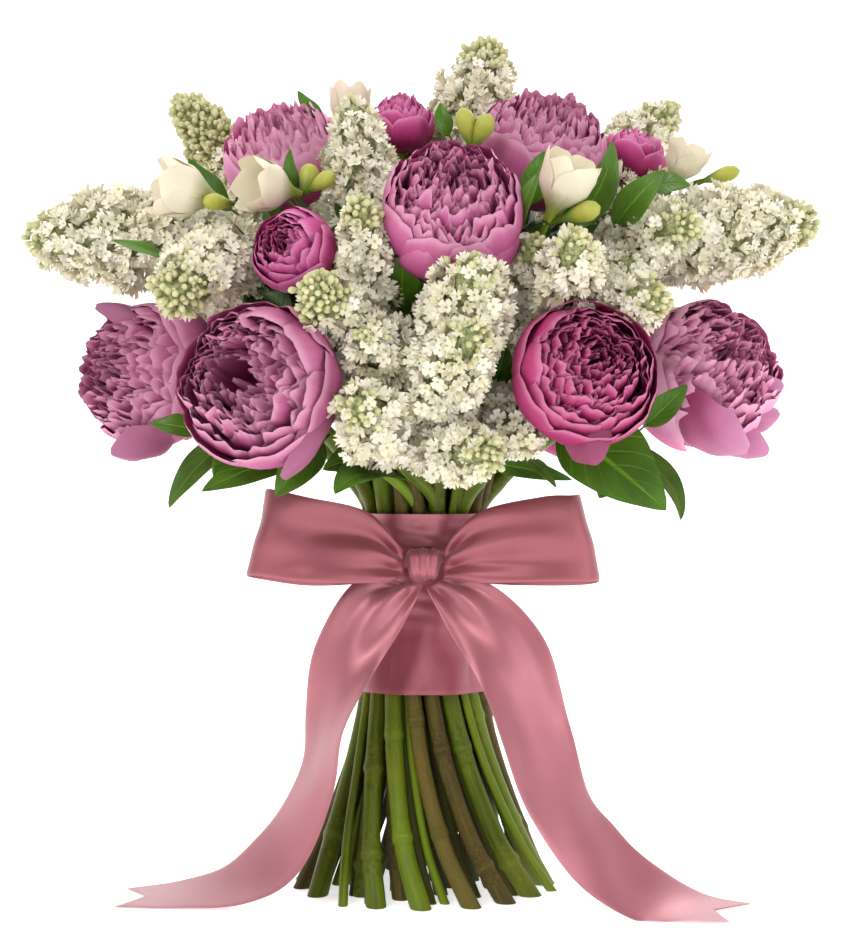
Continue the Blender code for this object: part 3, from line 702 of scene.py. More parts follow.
def bud_shape():
    """A closed bud, length 1: a small club, round at the top."""
    heights = np.array([0.10, 0.38, 0.66, 0.90])
    radii = np.array([0.13, 0.24, 0.30, 0.20])
    turn = TURN * np.arange(7) / 7
    rings = np.stack([radii[:, None] * np.cos(turn), radii[:, None] * np.sin(turn), heights[:, None] + 0 * turn], -1)
    points = np.concatenate([[[0, 0, 0.0]], rings.reshape(-1, 3), [[0, 0, 1.0]]])
    g = 1 + np.arange(28).reshape(4, 7)
    r = np.roll(g, -1, axis=1)
    quads = np.stack([g[:-1], r[:-1], r[1:], g[1:]], axis=-1).reshape(-1, 4)
    tris = np.concatenate([np.stack([r[0], g[0], g[0] * 0], -1), np.stack([g[-1], r[-1], g[-1] * 0 + 29], -1)])
    mark = np.concatenate([[0.0], np.repeat([0.2, 0.5, 0.8, 1.0], 7), [1.0]])
    return points, quads, tris, mark


def spindle_radius(u):
    """A panicle's radius along its length, as a share of its widest."""
    return np.interp(u, [0.0, 0.06, 0.24, 0.40, 0.56, 0.78, 0.92, 1.0], [0.10, 0.32, 0.74, 0.95, 1.0, 0.84, 0.52, 0.08])


def turns_facing(normals, rng):
    """Three columns for each normal, with the normal last and a chance turn about it."""
    side = unit(np.cross(normals, rng.normal(size=normals.shape)))
    return np.stack([side, np.cross(normals, side), normals], axis=-1)


def inside_blooms(points, share=0.90):
    """Which points lie inside a peony."""
    middles = mm([m for m, *_ in PEONIES])
    radii = mm([r for _, r, *_ in PEONIES]) * share
    return (np.linalg.norm(points[:, None] - middles[None], axis=-1) < radii).any(axis=1)


def spread_over(start, tip, radius, spacing, share, rng):
    """Points on a lumpy spindle, evenly by area: the way along comes from the sum of the girth, the way round
    is the golden angle times the count. Gives the way along, the points and their outward directions."""
    length = np.linalg.norm(tip - start)
    turn = basis(tip - start, any_side(tip - start))
    u = np.linspace(0, 1, 200)
    around = TURN * radius * share * spindle_radius(u) * length
    total = np.cumsum(around)
    count = int(around.mean() / (0.80 * spacing**2))
    where = np.interp((np.arange(count) + 0.5) / count * total[-1], total, u)
    angle = GOLDEN * np.arange(count) + rng.uniform(-0.2, 0.2, count)
    swing = 5 * length / radius
    lumps = 1 + 0.15 * np.sin(3 * angle + 9 * where + start[0] * 90) * np.sin(swing * where) + 0.08 * np.sin(5 * angle)
    reach = share * radius * spindle_radius(where) * lumps + rng.uniform(-0.0022, 0.0022, count)
    radial = np.outer(np.cos(angle), turn[:, 0]) + np.outer(np.sin(angle), turn[:, 1])
    slope = np.gradient(radius * spindle_radius(u), u * length)
    ahead = (0.35 - np.interp(where, u, slope))[:, None] * turn[:, 2]
    normals = unit(radial + ahead + rng.normal(scale=0.26, size=radial.shape))
    points = start + where[:, None] * length * turn[:, 2] + reach[:, None] * radial
    keep = ~inside_blooms(points)
    return where[keep], points[keep], normals[keep]


def panicle(flowers, wood, start, tip, radius, young, settings, rng):
    """Two shells of florets over a spindle, with buds towards the tip. The spindle is a darker solid: partly the little
    stalks, partly painted shade between the florets.
    """
    length = np.linalg.norm(tip - start)
    turn = basis(tip - start, any_side(tip - start))
    shape, quads, tris, level = floret_shape()
    small, small_quads, small_tris, small_level = bud_shape()
    for share, spacing in ((0.94, settings.spacing), (0.68, settings.spacing * 1.6)):
        where, points, normals = spread_over(start, tip, radius, spacing, share, rng)
        open_ = where < 1 - young + rng.uniform(-0.10, 0.10, len(where))
        n = int(open_.sum())
        sizes = settings.floret * rng.uniform(0.80, 1.12, n) * (1 - 0.22 * where[open_])
        close = rng.uniform(0.5, 2.6, n)
        cupped = np.repeat(shape[None], n, axis=0)
        cupped[..., 2] *= close[:, None]
        cupped[..., :2] *= (1 - 0.11 * close)[:, None, None]
        mark = marks_of(level[None, :], rng.uniform(0, 1, n)[:, None], where[open_][:, None])
        flowers.copies(cupped, quads, tris, points[open_], turns_facing(normals[open_], rng), sizes, mark)
    where, points, normals = spread_over(start, tip, radius, settings.spacing * 0.60, 0.88, rng)
    closed = where > 1 - young + rng.uniform(-0.06, 0.10, len(where))
    n = int(closed.sum())
    if n:
        sizes = settings.floret * rng.uniform(0.75, 1.15, n)
        chance = rng.uniform(0, 1, n)
        mark = marks_of(small_level[None, :], chance[:, None], 2.0)
        middles = points[closed] - normals[closed] * 0.003
        buds = np.repeat(small[None], n, axis=0)
        flowers.copies(buds, small_quads, small_tris, middles, turns_facing(normals[closed], rng), sizes, mark)
    # the spindle: partly the little stalks, partly painted shade that closes the gaps between florets
    heights = np.linspace(0.0, 0.96, 12)
    rings = np.linspace(0, TURN, 12, endpoint=False)
    core = 0.56 * radius * spindle_radius(heights) + 0.0008
    ring_points = (
        start
        + heights[:, None, None] * length * turn[:, 2]
        + core[:, None, None] * (np.cos(rings)[:, None] * turn[:, 0] + np.sin(rings)[:, None] * turn[:, 1])
    )
    wood.closed_tube(ring_points, np.zeros((12, 12, 3)))


def lilac_finish(white, bud):
    """Cream florets with a darker olive middle, partly the throat's own yellow green and partly painted shade in its
    opening, and green buds. mark is (out from the middle, chance, place or 2).
    """
    f = Finish("lilac_florets", 0.6, Specular_IOR_Level=0.3)
    level, chance, kind = f.marks()
    warm = f.mix(chance.step(0.3, 1.0), white, white * (0.96, 0.95, 0.84))
    # a darker olive middle: partly the throat's own colour, partly painted shade in the opening of the tube
    petal = f.mix(level.step(0.0, 0.40), (0.42, 0.42, 0.14), warm)
    green = f.mix(level.step(0.2, 1.0), bud * 0.55, bud)
    green = f.mix(chance, green, bud * (1.25, 1.22, 1.6))
    colour = f.mix(kind.step(1.4, 1.6), petal, green)
    f.feed("Base Color", colour)
    f.let_light_through(colour, 0.30)
    return f.material


def stalks_and_shade_finish():
    """A darker solid inside a panicle: partly its tangle of little stalks, partly painted shade between the florets."""
    f = Finish("lilac_stalks_and_shade", 0.8)
    grain = f.noise(f.place(), 420.0, 3.0)
    f.feed("Base Color", f.mix(grain.step(0.3, 0.7), (0.16, 0.19, 0.06), (0.42, 0.44, 0.22)))
    f.feed("Normal", f.bump(grain, 0.002))
    return f.material


class BUNCH_OT_lilac(Operator):
    """Makes the lilac panicles, floret by floret"""

    bl_idname = "bunch.lilac"
    bl_label = "Lilac"

    def execute(self, context):
        settings = context.scene.bunch_lilac
        # the stalk finish colours the darker spindles: partly stalks, partly painted shade
        florets, stalks = lilac_finish(np.array(settings.white), np.array(settings.bud)), stalks_and_shade_finish()
        groups = [
            (f"lilac_{i:02d}", f"lilac_stalks_and_shade_{i:02d}", f"lilac_panicles_{i:02d}", 100 + i, [(fork, *h) for h in heads])
            for i, (fork, heads) in enumerate(LILACS, 1)
        ]
        for name, first, last in (("front", 0, 8), ("back", 8, 11), ("rear", 11, 15)):
            heads = FILL_PANICLES[first:last]
            groups.append((f"lilac_fill_{name}", f"lilac_fill_stalks_and_shade_{name}", None, 120, heads))
        for name, stalk_name, node, seed, heads in groups:
            flowers, wood, rng = Surface(), Surface(), np.random.default_rng(seed)
            for fork, tip, radius, young in heads:
                panicle(flowers, wood, mm(fork), mm(tip), radius * MM, young, settings, rng)
            flowers.build(name, florets, "lilac_white", node)
            wood.build(stalk_name, stalks, "lilac_wood")
        return {"FINISHED"}


# --- freesia ---
TEPAL_ROWS, TEPAL_COLUMNS = 12, 9


def tepal_patches(openness, rng):
    """Six tepals of a funnel of length 1: the distance from the axis grows slowly along the tube and then
    opens, and each tepal is an oval with a small point, three inside and three outside."""
    k = np.arange(6)[:, None, None]
    outer = (k % 2).astype(float)
    s = np.linspace(0, 1, TEPAL_ROWS)[None, :, None]
    t = np.linspace(-1, 1, TEPAL_COLUMNS)[None, None, :]
    chance = rng.uniform(0, 6.28, 6)[:, None, None]
    along = s - (0.16 * np.abs(t) ** 2 + 0.03 * np.sin(4 * t + chance)) * s**3
    reach = 0.05 + 0.30 * smooth(along, 0.08, 0.58) + openness * smooth(along, 0.50, 1.0) ** 1.3 + 0.014 * outer
    reach = reach + 0.03 * t**2 * s - 0.02 * s**6
    width = 0.08 + 0.31 * np.sin(math.pi * np.clip(s, 0, 1) ** 1.15 * 0.82)
    angle = k * math.pi / 3 + width * t / np.maximum(reach, 0.12)
    x, y = reach * np.cos(angle), reach * np.sin(angle)
    z = along + 0 * angle - 0.25 * openness * along**3
    mark = np.stack([t + 0 * x, along + 0 * x, chance / 6.28 + 0 * x], axis=-1)
    return np.stack([x, y, z], axis=-1), mark


def club(surface, start, tip, radius, rings=12, sides=12):
    """A bud: narrow at its foot, widest at two thirds, with a blunt tip."""
    u = np.linspace(0, 1, rings)
    r = radius * np.interp(u, [0, 0.15, 0.45, 0.7, 0.9, 1.0], [0.18, 0.42, 0.82, 1.0, 0.72, 0.12])
    turn = basis(tip - start, any_side(tip - start))
    a = np.linspace(0, TURN, sides, endpoint=False)
    lobes = 1 + 0.05 * np.cos(3 * a)[None, :] * np.sin(math.pi * u)[:, None]
    circle = np.cos(a)[:, None] * turn[:, 0] + np.sin(a)[:, None] * turn[:, 1]
    rings_points = start + u[:, None, None] * (tip - start) + (r[:, None] * lobes)[..., None] * circle[None]
    mark = marks_of(1.0, u[:, None], (a / 6.28)[None, :])
    surface.closed_tube(rings_points, mark)


def freesia_finish(name, cream, throat):
    """Waxy cream tepals, yellow green in the throat and at the foot. mark is (across, along, chance)."""
    f = Finish(name, 0.42, Specular_IOR_Level=0.4)
    across, along, chance = f.marks()
    streak = f.noise(f.vector(across * 7.0, along * 1.5, chance * 9.0), 2.0, 2.0)
    level = along + (streak - 0.5) * 0.25
    colour = f.mix(level.step(0.12, 0.55), throat, cream)
    f.feed("Base Color", colour)
    f.feed("Normal", f.bump(streak, 0.0004, 0.6))
    f.let_light_through(colour, 0.25)
    return f.material


class BUNCH_OT_freesia(Operator):
    """Makes the freesia sprays: funnels of six tepals, buds and thin stems"""

    bl_idname = "bunch.freesia"
    bl_label = "Freesia"

    def execute(self, context):
        settings = context.scene.bunch_freesia
        cream, throat = np.array(settings.cream), np.array(settings.throat)
        tepals = freesia_finish("freesia_tepals", cream, throat)
        buds = freesia_finish("freesia_buds", throat * (1.5, 1.25, 1.9), throat * (0.5, 0.66, 0.6))
        green = stem_finish("freesia_stem", np.array(context.scene.bunch_green.stem) * 1.2, 0.0)
        for i, (fork, heads) in enumerate(FREESIAS, 1):
            fork = mm(fork)
            rng = np.random.default_rng(200 + i)
            stems, flowers, closed = Surface(), Surface(), Surface()
            path, radii = stem_path(f"freesia_{i:02d}", fork)
            add_stem(stems, path, radii, 12, rng, 0.0)
            for tip, radius in heads:
                tip = mm(tip)
                direction = unit(tip - fork)
                length = min(0.041 if radius > FREESIA_BLOOM_RADIUS else 0.024, 0.95 * np.linalg.norm(tip - fork))
                foot = tip - direction * length
                club(stems, fork - direction * 0.001, foot + direction * 0.006, 0.0019)
                if radius > FREESIA_BLOOM_RADIUS:
                    points, mark = tepal_patches(rng.uniform(0.02, 0.12), rng)
                    points = foot + length * points @ basis(direction, any_side(direction)).T
                    flowers.sheets(points, TISSUE, mark)
                else:
                    club(closed, foot, tip, radius * MM * 0.85)
            stems.build(f"freesia_stem_{i:02d}", green, "stem_green", f"freesia_{i:02d}")
            if flowers.count:
                flowers.build(f"freesia_bloom_{i:02d}", tepals, "freesia_cream")
            if closed.count:
                closed.build(f"freesia_bud_{i:02d}", buds, "freesia_cream")
        return {"FINISHED"}


# --- stems ---
def flare(z):
    """How much wider the bundle is than at its waist, at heights in millimetres: it grows with the power 2.2
    of the way down to the ground, and of the way up above the waist."""
    below = np.clip((WAIST_HEIGHT - z) / WAIST_HEIGHT, 0, 1)
    above = np.clip((z - WAIST_HEIGHT) / 32, 0, 3)
    return 1 + 1.62 * below**2.2 + 0.16 * above**2.2


def stem_path(node, fork=None):
    """The middle line and radius of a CAD stem. Its points fall into rings: points closer than the side of a
    ring share a ring, and each ring's middle is the mean of its points. A freesia's stem ends at its fork."""
    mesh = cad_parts[node].data
    co = np.zeros(len(mesh.vertices) * 3, np.float32)
    mesh.vertices.foreach_get("co", co)
    co = np.unique(np.round(co.reshape(-1, 3).astype(float), 5), axis=0)
    if fork is not None:
        co = co[(np.linalg.norm(co - fork, axis=1) > 0.0115) & (co[:, 2] < fork[2] - 0.006)]
    near = np.linalg.norm(co[:, None] - co[None], axis=-1) < 0.0048
    ground = co[:, 2] < 0.002
    near |= ground[:, None] & ground[None]
    label = np.arange(len(co))
    for _ in range(len(co)):
        spread = np.where(near, label[None, :], len(co)).min(axis=1)
        if (spread == label).all():
            break
        label = spread
    names = np.unique(label)
    middles = np.array([co[label == n].mean(0) for n in names])
    radii = np.array([np.linalg.norm(co[label == n] - co[label == n].mean(0), axis=1).mean() for n in names])
    order = [int(np.argmin(middles[:, 2]))]
    left = set(range(len(names))) - set(order)
    while left:
        nearest = min(left, key=lambda i: np.linalg.norm(middles[i] - middles[order[-1]]))
        order.append(nearest)
        left.remove(nearest)
    middles, radii = middles[order], radii[order]
    if fork is not None:
        middles, radii = np.concatenate([middles, fork[None]]), np.append(radii, radii[-1])
    return middles, radii


def add_stem(surface, path, radii, sides, rng, knots):
    """A round tube along a smooth line through the path, cut level at the ground. At each node its radius
    grows by a wide and a narrow bell curve, with a small dip just below. The rings are close together on the
    part below the ribbon, where the nodes show."""
    shown_from, shown_to = 0.011, 0.135
    count = 6 * len(path)
    line = curve_through(path, count)
    size = curve_through(radii[:, None], count)[:, 0]
    size[0] = size[1]
    far = np.concatenate([[0], np.cumsum(np.linalg.norm(np.diff(line, axis=0), axis=1))])
    shown = np.arange(shown_from, shown_to, 0.0019 if sides > 8 else 0.012)
    steps = np.concatenate([[0.0], shown, np.linspace(shown_to, far[-1], int(far[-1] / 0.009))])
    line = np.stack([np.interp(steps, far, line[:, k]) for k in range(3)], axis=1)
    size = np.interp(steps, far, size)
    nodes = np.append(rng.uniform(0.015, 0.055), rng.uniform(0.07, 0.13)) if knots else np.zeros(0)
    bulges = np.zeros_like(steps)
    for at in np.append(nodes, rng.uniform(0.2, 0.3, len(nodes))):
        off = steps - at
        ring = 0.55 * np.exp(-((off / 0.0075) ** 2)) + 0.75 * np.exp(-((off / 0.0021) ** 2))
        dip = 0.35 * np.exp(-(((off + 0.0045) / 0.0017) ** 2))
        bulges = bulges + rng.uniform(0.7, 1.3) * (ring - dip)
    size = size * (1 + knots * bulges)
    tangent = unit(np.gradient(line, axis=0))
    heading = line[-1] - line[0]
    side = unit(np.array([-heading[1], heading[0], 1e-6]))
    first = unit(np.cross(tangent, side))
    second = np.cross(tangent, first)
    a = np.linspace(0, TURN, sides, endpoint=False)
    circle = np.cos(a)[None, :, None] * first[:, None] + np.sin(a)[None, :, None] * second[:, None]
    rings = line[:, None] + size[:, None, None] * circle
    if rings[0, :, 2].min() < 0.012:
        rings[0] -= tangent[0] * (rings[0, :, 2] / tangent[0, 2])[:, None]
        collar = rings[0] * 0.85 + rings[1] * 0.15
        pith = rings[0].mean(0) + (rings[0] - rings[0].mean(0)) * 0.93
        rings = np.concatenate([pith[None], rings[:1] + (0, 0, 0.0004), collar[None], rings[1:]])
        steps = np.concatenate([[CUT_END, 0.0, 0.0], steps[1:]])
        bulges = np.concatenate([[0.0, 0.0], bulges])
    tone = rng.uniform(0, 1) + 0.5 * np.clip(bulges, 0, 1)
    surface.closed_tube(rings, marks_of(steps[:, None], (a / 6.283)[None, :], tone[:, None]))


def stem_finish(name, colour, bark):
    """Smooth or woody stem skin with long streaks and paler patches; the cut end is pale. mark is (way along
    in metres, way round, chance)."""
    f = Finish(name, 0.46 + 0.2 * bark, Specular_IOR_Level=0.28)
    along, around, chance = f.marks()
    place = f.place()
    streak = f.noise(f.vector(around * 16.0, along * 26.0, chance * 31.0), 1.0, 4.0, 0.6)
    patch = f.noise(place, 26.0, 2.0)
    fleck = f.noise(place, 900.0, 2.0)
    tone = f.mix(streak.step(0.25, 0.75), colour * 0.62, colour * 1.35)
    tone = f.mix(chance.step(0.45, 1.1) * 0.8, tone, colour * (1.75, 1.9, 1.9))
    tone = f.mix(patch.step(0.5, 0.75) * 0.5, tone, colour * (2.2, 1.7, 1.6))
    tone = f.mix(fleck.step(0.62, 0.7) * bark * 0.5, tone, (0.16, 0.14, 0.06))
    tone = f.mix((0.0 - along).step(0.05, 0.5), tone, (0.42, 0.44, 0.20))
    f.feed("Base Color", tone)
    f.feed("Normal", f.bump(streak, 0.0006 + 0.0008 * bark, 0.8))
    return f.material


WAIST_HEIGHT = 190  # millimetres
CUT_END = -1.0  # the way along that marks the pale cut face of a stem
FILL_STEMS = 30
# stalks seen between the heads and the ribbon: points from the top down, radius
FRONT_STALKS = (
    (((-46, -50, 276), (-34, -47, 262), (-22, -43, 247), (-8, -36, 233), (4, -26, 214)), 3.4),
    (((-34, -54, 276), (-22, -50, 262), (-9, -46, 247), (4, -36, 234), (12, -25, 214)), 3.8),
    (((24, -46, 276), (23, -40, 262), (22, -34, 247), (20, -28, 232), (17, -20, 214)), 4.4),
)


class BUNCH_OT_stems(Operator):
    """Makes the peony and lilac stems along the frame's own"""

    bl_idname = "bunch.stems"
    bl_label = "Stems"

    def execute(self, context):
        settings = context.scene.bunch_green
        green = stem_finish("peony_stem_skin", np.array(settings.stem), 0.0)
        bark = stem_finish("lilac_bark", np.array(settings.bark), 1.0)
        for kind, count, finish, slot, knots in (
            ("peony", len(PEONIES), green, "stem_green", 0.15),
            ("lilac", len(LILACS), bark, "lilac_wood", 0.13),
        ):
            for i in range(1, count + 1):
                node = f"{kind}_stem_{i:02d}"
                surface = Surface()
                path, radii = stem_path(node)
                add_stem(surface, path, radii, settings.sides, np.random.default_rng(300 + i), knots)
                surface.build(f"{kind}_stalk_{i:02d}", finish, slot, node)
        rng, surface = np.random.default_rng(390), Surface()
        z = np.array([0.0, 32, 76, 117, 152, 190, 222, 245, 268])
        twist = math.radians(44) * np.clip((WAIST_HEIGHT - z) / WAIST_HEIGHT, 0, 1) ** 1.4
        for i in range(FILL_STEMS):
            spread = 27 * math.sqrt((i + 0.5) / FILL_STEMS) * flare(z)
            turn = GOLDEN * i + twist
            path = np.stack([spread * np.cos(turn), spread * np.sin(turn), z], axis=-1) * MM
            radii = np.full(len(z), rng.uniform(0.0028, 0.0044))
            add_stem(surface, path, radii, 8, rng, 0.25)
        # the stems behind the others take a darker copy of the bark colour: painted shade
        dark = stem_finish("stem_fill_painted_shade", np.array(settings.bark) * (0.45, 0.60, 0.4), 0.3)
        surface.build("stem_fill", dark, "stem_green")
        surface = Surface()
        for path, radius in FRONT_STALKS:
            add_stem(surface, mm(path), np.full(len(path), radius * MM), 10, rng, 0.1)
        # a brighter green than the peony stems
        front_green = stem_finish("stem_front_skin", np.array(settings.stem) * (1.2, 1.2, 2.0), 0.0)
        surface.build("stem_front", front_green, "stem_green")
        return {"FINISHED"}


# --- leaves ---
CAD_LEAVES = 6  # the first leaves below stand for solids
# root, a point that bends the blade, tip, the way its face looks, half width, shade: 0 bright, 1 grey green
LEAVES = (
    ((68, -86, 280), (99, -98, 256), (132, -112, 226), (0.25, -0.92, 0.30), 26, 0.0),
    ((-62, -72, 262), (-90, -84, 252), (-122, -98, 236), (-0.15, -0.85, 0.50), 13, 0.1),
    ((-96, -22, 278), (-134, -46, 254), (-145, -60, 226), (-0.35, -0.90, 0.25), 10, 0.8),
    ((96, -10, 272), (150, -44, 250), (147, -56, 219), (0.45, -0.85, 0.20), 9, 0.8),
    ((-6, -48, 240), (-34, -110, 254), (-47, -132, 235), (-0.10, -0.80, 0.60), 13, 0.0),
    ((60, 0, 384), (104, -62, 388), (106, -76, 433), (0.20, -0.85, 0.45), 13, 0.6),
    ((-109, -20, 398), (-124, -40, 407), (-137, -36, 429), (0.2, -0.8, 0.5), 9, 0.3),
    ((49, -90, 370), (52, -122, 391), (63, -118, 409), (-0.6, -0.7, 0.1), 7, 1.0),
    ((-71, -50, 400), (-78, -66, 412), (-76, -60, 431), (0.3, -0.9, 0.2), 5, 0.3),
    ((-57, 20, 455), (-70, 14, 465), (-77, 20, 479), (0.2, -0.8, 0.5), 6, 0.3),
    ((74, 20, 455), (83, 14, 461), (93, 20, 473), (-0.2, -0.8, 0.5), 6, 0.3),
    ((17, 10, 447), (10, 0, 456), (10, 6, 469), (0.0, -0.9, 0.3), 6, 0.3),
    ((58, -50, 394), (63, -70, 412), (69, -62, 429), (0.2, -0.9, 0.2), 9, 0.3),
    ((64, -50, 345), (54, -88, 363), (44, -80, 386), (0.2, -0.9, 0.1), 10, 0.2),
    ((-142, -40, 368), (-156, -62, 373), (-178, -58, 379), (0.0, -0.7, 0.7), 6, 0.3),
    ((108, -40, 384), (115, -84, 398), (135, -86, 415), (0.2, -0.9, 0.3), 10, 0.6),
    ((54, -80, 256), (64, -104, 252), (73, -104, 238), (0.0, -0.8, 0.5), 4, 1.0),
    ((-125, -60, 269), (-137, -78, 273), (-154, -70, 274), (0.0, -0.8, 0.5), 8, 0.0),
    ((-53, -70, 268), (-68, -96, 252), (-82, -90, 233), (0.0, -0.9, 0.3), 12, 0.1),
    ((122, -70, 270), (134, -86, 281), (149, -70, 296), (0.0, -0.9, 0.3), 8, 0.1),
    ((1, -50, 262), (-30, -100, 258), (-55, -104, 248), (0.0, -0.85, 0.5), 14, 0.0),
    ((26, -50, 253), (55, -60, 250), (85, -56, 242), (0.0, -0.85, 0.4), 7, 1.0),
    ((-99, -60, 265), (-111, -80, 248), (-117, -80, 242), (0.0, -0.85, 0.4), 10, 0.2),
    ((100, -60, 265), (109, -84, 248), (98, -84, 232), (0.0, -0.85, 0.4), 12, 0.0),
    ((133, -20, 413), (141, -30, 417), (156, -30, 414), (0.0, -0.85, 0.4), 8, 0.6),
    ((30, -50, 282), (44, -72, 300), (46, -80, 318), (0.0, -0.9, 0.3), 12, 0.2),
    ((-8, -80, 330), (-14, -104, 348), (-10, -112, 366), (0.0, -0.9, 0.3), 11, 0.2),
)


def leaf_patch(root, bend, tip, face, half, rows=26, columns=11):
    """A pointed leaf. Its half width is a sine of the way along, drawn out to a point, after a narrow stalk;
    its sides rise a little from the midrib and wave."""
    stalk = 0.14

    def width(s):
        u = np.clip((s - stalk) / (1 - stalk), 0, 1)
        oval = half * (0.05 + np.sin(math.pi * u**0.82) ** 0.85 * (1 - 0.25 * u))
        return np.where(s < stalk, half * 0.07, oval) * np.where(s > 0.995, 0.4, 1.0)

    def lift(s, t):
        return 0.22 * np.abs(t) ** 1.3 + 0.05 * np.abs(t) ** 3 * np.sin(14 * s)

    points, s, t = blade(root, bend, tip, face, rows, columns, width, lift)
    return points, marks_of(t, s, half)


def leaf_finish(name, colour):
    """A slightly glossy blade with a pale midrib and side veins that leave it at a slant."""
    f = Finish(name, 0.38, Specular_IOR_Level=0.5)
    across, along, _ = f.marks()
    out = abs(across)
    rib = 1.0 - out.step(0.02, 0.09)
    vein = ((along * 46.0 - out * 14.0).sine()).step(0.80, 1.0)
    cloud = f.noise(f.place(), 45.0, 3.0)
    tone = f.mix(cloud.step(0.3, 0.7), colour * 0.75, colour * 1.25)
    tone = f.mix(vein * 0.20, tone, colour * 2.0)
    tone = f.mix(rib * 0.65, tone, colour * (2.6, 2.4, 3.0))
    f.feed("Base Color", tone)
    f.feed("Normal", f.bump(cloud * 0.3 - vein * 0.5 - rib * 0.8, 0.0007, 0.8))
    f.let_light_through(tone, 0.2)
    return f.material


class BUNCH_OT_leaves(Operator):
    """Makes the leaves"""

    bl_idname = "bunch.leaves"
    bl_label = "Leaves"

    def execute(self, context):
        colour = np.array(context.scene.bunch_green.leaf)
        bright = leaf_finish("leaf_bright", colour)
        grey = leaf_finish("leaf_grey", colour * (1.15, 1.0, 2.2))
        for i, (root, bend, tip, face, half, shade) in enumerate(LEAVES, 1):
            points, mark = leaf_patch(mm(root), mm(bend), mm(tip), face, half * MM)
            surface = Surface()
            surface.sheets(points[None], TISSUE, mark[None])
            node = f"leaf_{i:02d}" if i <= CAD_LEAVES else None
            surface.build(f"leaf_blade_{i:02d}", grey if shade > 0.5 else bright, "leaf_green", node)
        # the filler leaves below cover the gaps inside the bunch in a darker copy of the leaf green: partly foliage,
        # partly painted shade
        dark = leaf_finish("leaf_fill_painted_shade", colour * (0.5, 0.55, 0.6))
        rng = np.random.default_rng(400)
        surface = Surface()
        for i in range(260):
            around, rise = GOLDEN * i, math.asin(rng.uniform(-0.15, 0.95))
            out = np.array((math.cos(around) * math.cos(rise), math.sin(around) * math.cos(rise), math.sin(rise)))
            tip = np.array((0, 0, 335)) + out * (158, 112, 96) * rng.uniform(0.72, 0.98)
            root = tip - unit(out * (1, 1, 0.5) + (0, 0, 0.6)) * rng.uniform(34, 52)
            bend = (tip + root) / 2 + rng.normal(size=3) * 5 + (0, 0, 6)
            line = mm([root, bend, tip])
            if not inside_blooms(np.concatenate([line, line[1:] - (0, 0, 0.01)]), 1.06).any():
                points, mark = leaf_patch(*line, out + (0, 0, 0.7), rng.uniform(8, 13) * MM, 13, 7)
                surface.sheets(points[None], TISSUE, mark[None])
        surface.build("leaf_fill", dark, "leaf_green")
        return {"FINISHED"}


# --- ribbon ---
# middle line and half width vector of a ribbon strip, from the knot on
LEFT_TAIL = (
    ((-7.4, -46, 182.4), (6.6, 0, -2)),
    ((-27, -56, 169), (13, -4, -14)),
    ((-46, -60, 138), (15, -15, -8)),
    ((-56, -62, 104), (13, -20, -2)),
    ((-61, -63, 72), (12, -21, -4)),
    ((-79, -62, 34), (9, -21, -9)),
    ((-106, -58, 12), (6, -22, -7)),
    ((-140, -50, 4), (2, -24, -3)),
    ((-176, -44, 0.6), (0, -25, 0)),
)
RIGHT_TAIL = (
    ((7.4, -46, 182.4), (6.6, 0, 2)),
    ((28, -60, 168), (13, 0, 13)),
    ((50, -72, 140), (20, 6, 10)),
    ((63, -80, 100), (19, 16, 3)),
    ((76, -84, 62), (16, 18, 4)),
    ((97, -84, 33), (12, 15, 14)),
    ((122, -84, 13), (8, 18, 12)),
    ((150, -84, 4), (9, 22, 3)),
    ((178, -84, 0.6), (10, 23, 0)),
)


def bow_loop_stations(side, height):
    """The same for a loop: out from the knot, round its end at the given height and back behind."""
    return (
        ((11.6 * side, -50, 193.5), (0, 0, 8)),
        ((31 * side, -61, 203.5), (0, 0, 20)),
        ((66 * side, -70, 208.5), (0, 0, 24)),
        ((88 * side, -68, height), (-4 * side, 0, 24.5)),
        ((95 * side, -58, height), (-5 * side, 0, 25)),
        ((88 * side, -49, height - 3), (-4 * side, 0, 24.5)),
        ((66 * side, -47, 203), (0, 0, 22)),
        ((36 * side, -45, 197), (0, 0, 15)),
        ((11.6 * side, -42, 193.5), (0, 0, 8)),
    )


def strip(stations, rows, columns, crease, notch=0.0):
    """A ribbon strip: its middle line and its half width vector run smoothly through the stations. Creases
    fan out of the knot: the strip moves along its normal by a wave across it that fades with the way along.
    A notch cuts the far end back to a fishtail, most in the middle."""
    table = curve_through(np.array(stations, float), rows) * MM
    line, half = table[:, 0], table[:, 1]
    t = np.linspace(-1, 1, columns)[None, :, None]
    s = np.linspace(0, 1, rows)[:, None, None]
    points = line[:, None] + half[:, None] * t
    normal = unit(np.cross(np.gradient(points, axis=0), np.gradient(points, axis=1)))
    points = points + normal * crease(s, t)
    back = -unit(np.gradient(line, axis=0))[:, None]
    points = points + notch * np.clip((s - 0.93) / 0.07, 0, 1) * (1 - np.abs(t)) * back
    mark = marks_of(t[..., 0], s[..., 0] * rows / columns, 0.5)
    return points, mark


def satin_finish(name, colour):
    """Satin: a soft broad shine in its own colour, a fine weave across the ribbon and slightly paler hems.
    mark is (across, along, chance)."""
    f = Finish(name, 0.34, Metallic=0.35, Specular_IOR_Level=0.7, Sheen_Weight=0.30, Sheen_Roughness=0.4)
    across, along, _ = f.marks()
    cloud = f.noise(f.place(), 22.0, 2.0)
    tone = f.mix(cloud.step(0.3, 0.7), colour * 0.92, colour * 1.08)
    tone = f.mix(abs(across).step(0.93, 0.97) * 0.5, tone, colour * (1.25, 1.5, 1.45))
    f.feed("Base Color", tone)
    weave = f.noise(f.vector(across * 60.0, along * 900.0, 0.0), 1.0, 2.0)
    f.feed("Normal", f.bump(weave * 0.1 + cloud, 0.0010, 0.5))
    return f.material


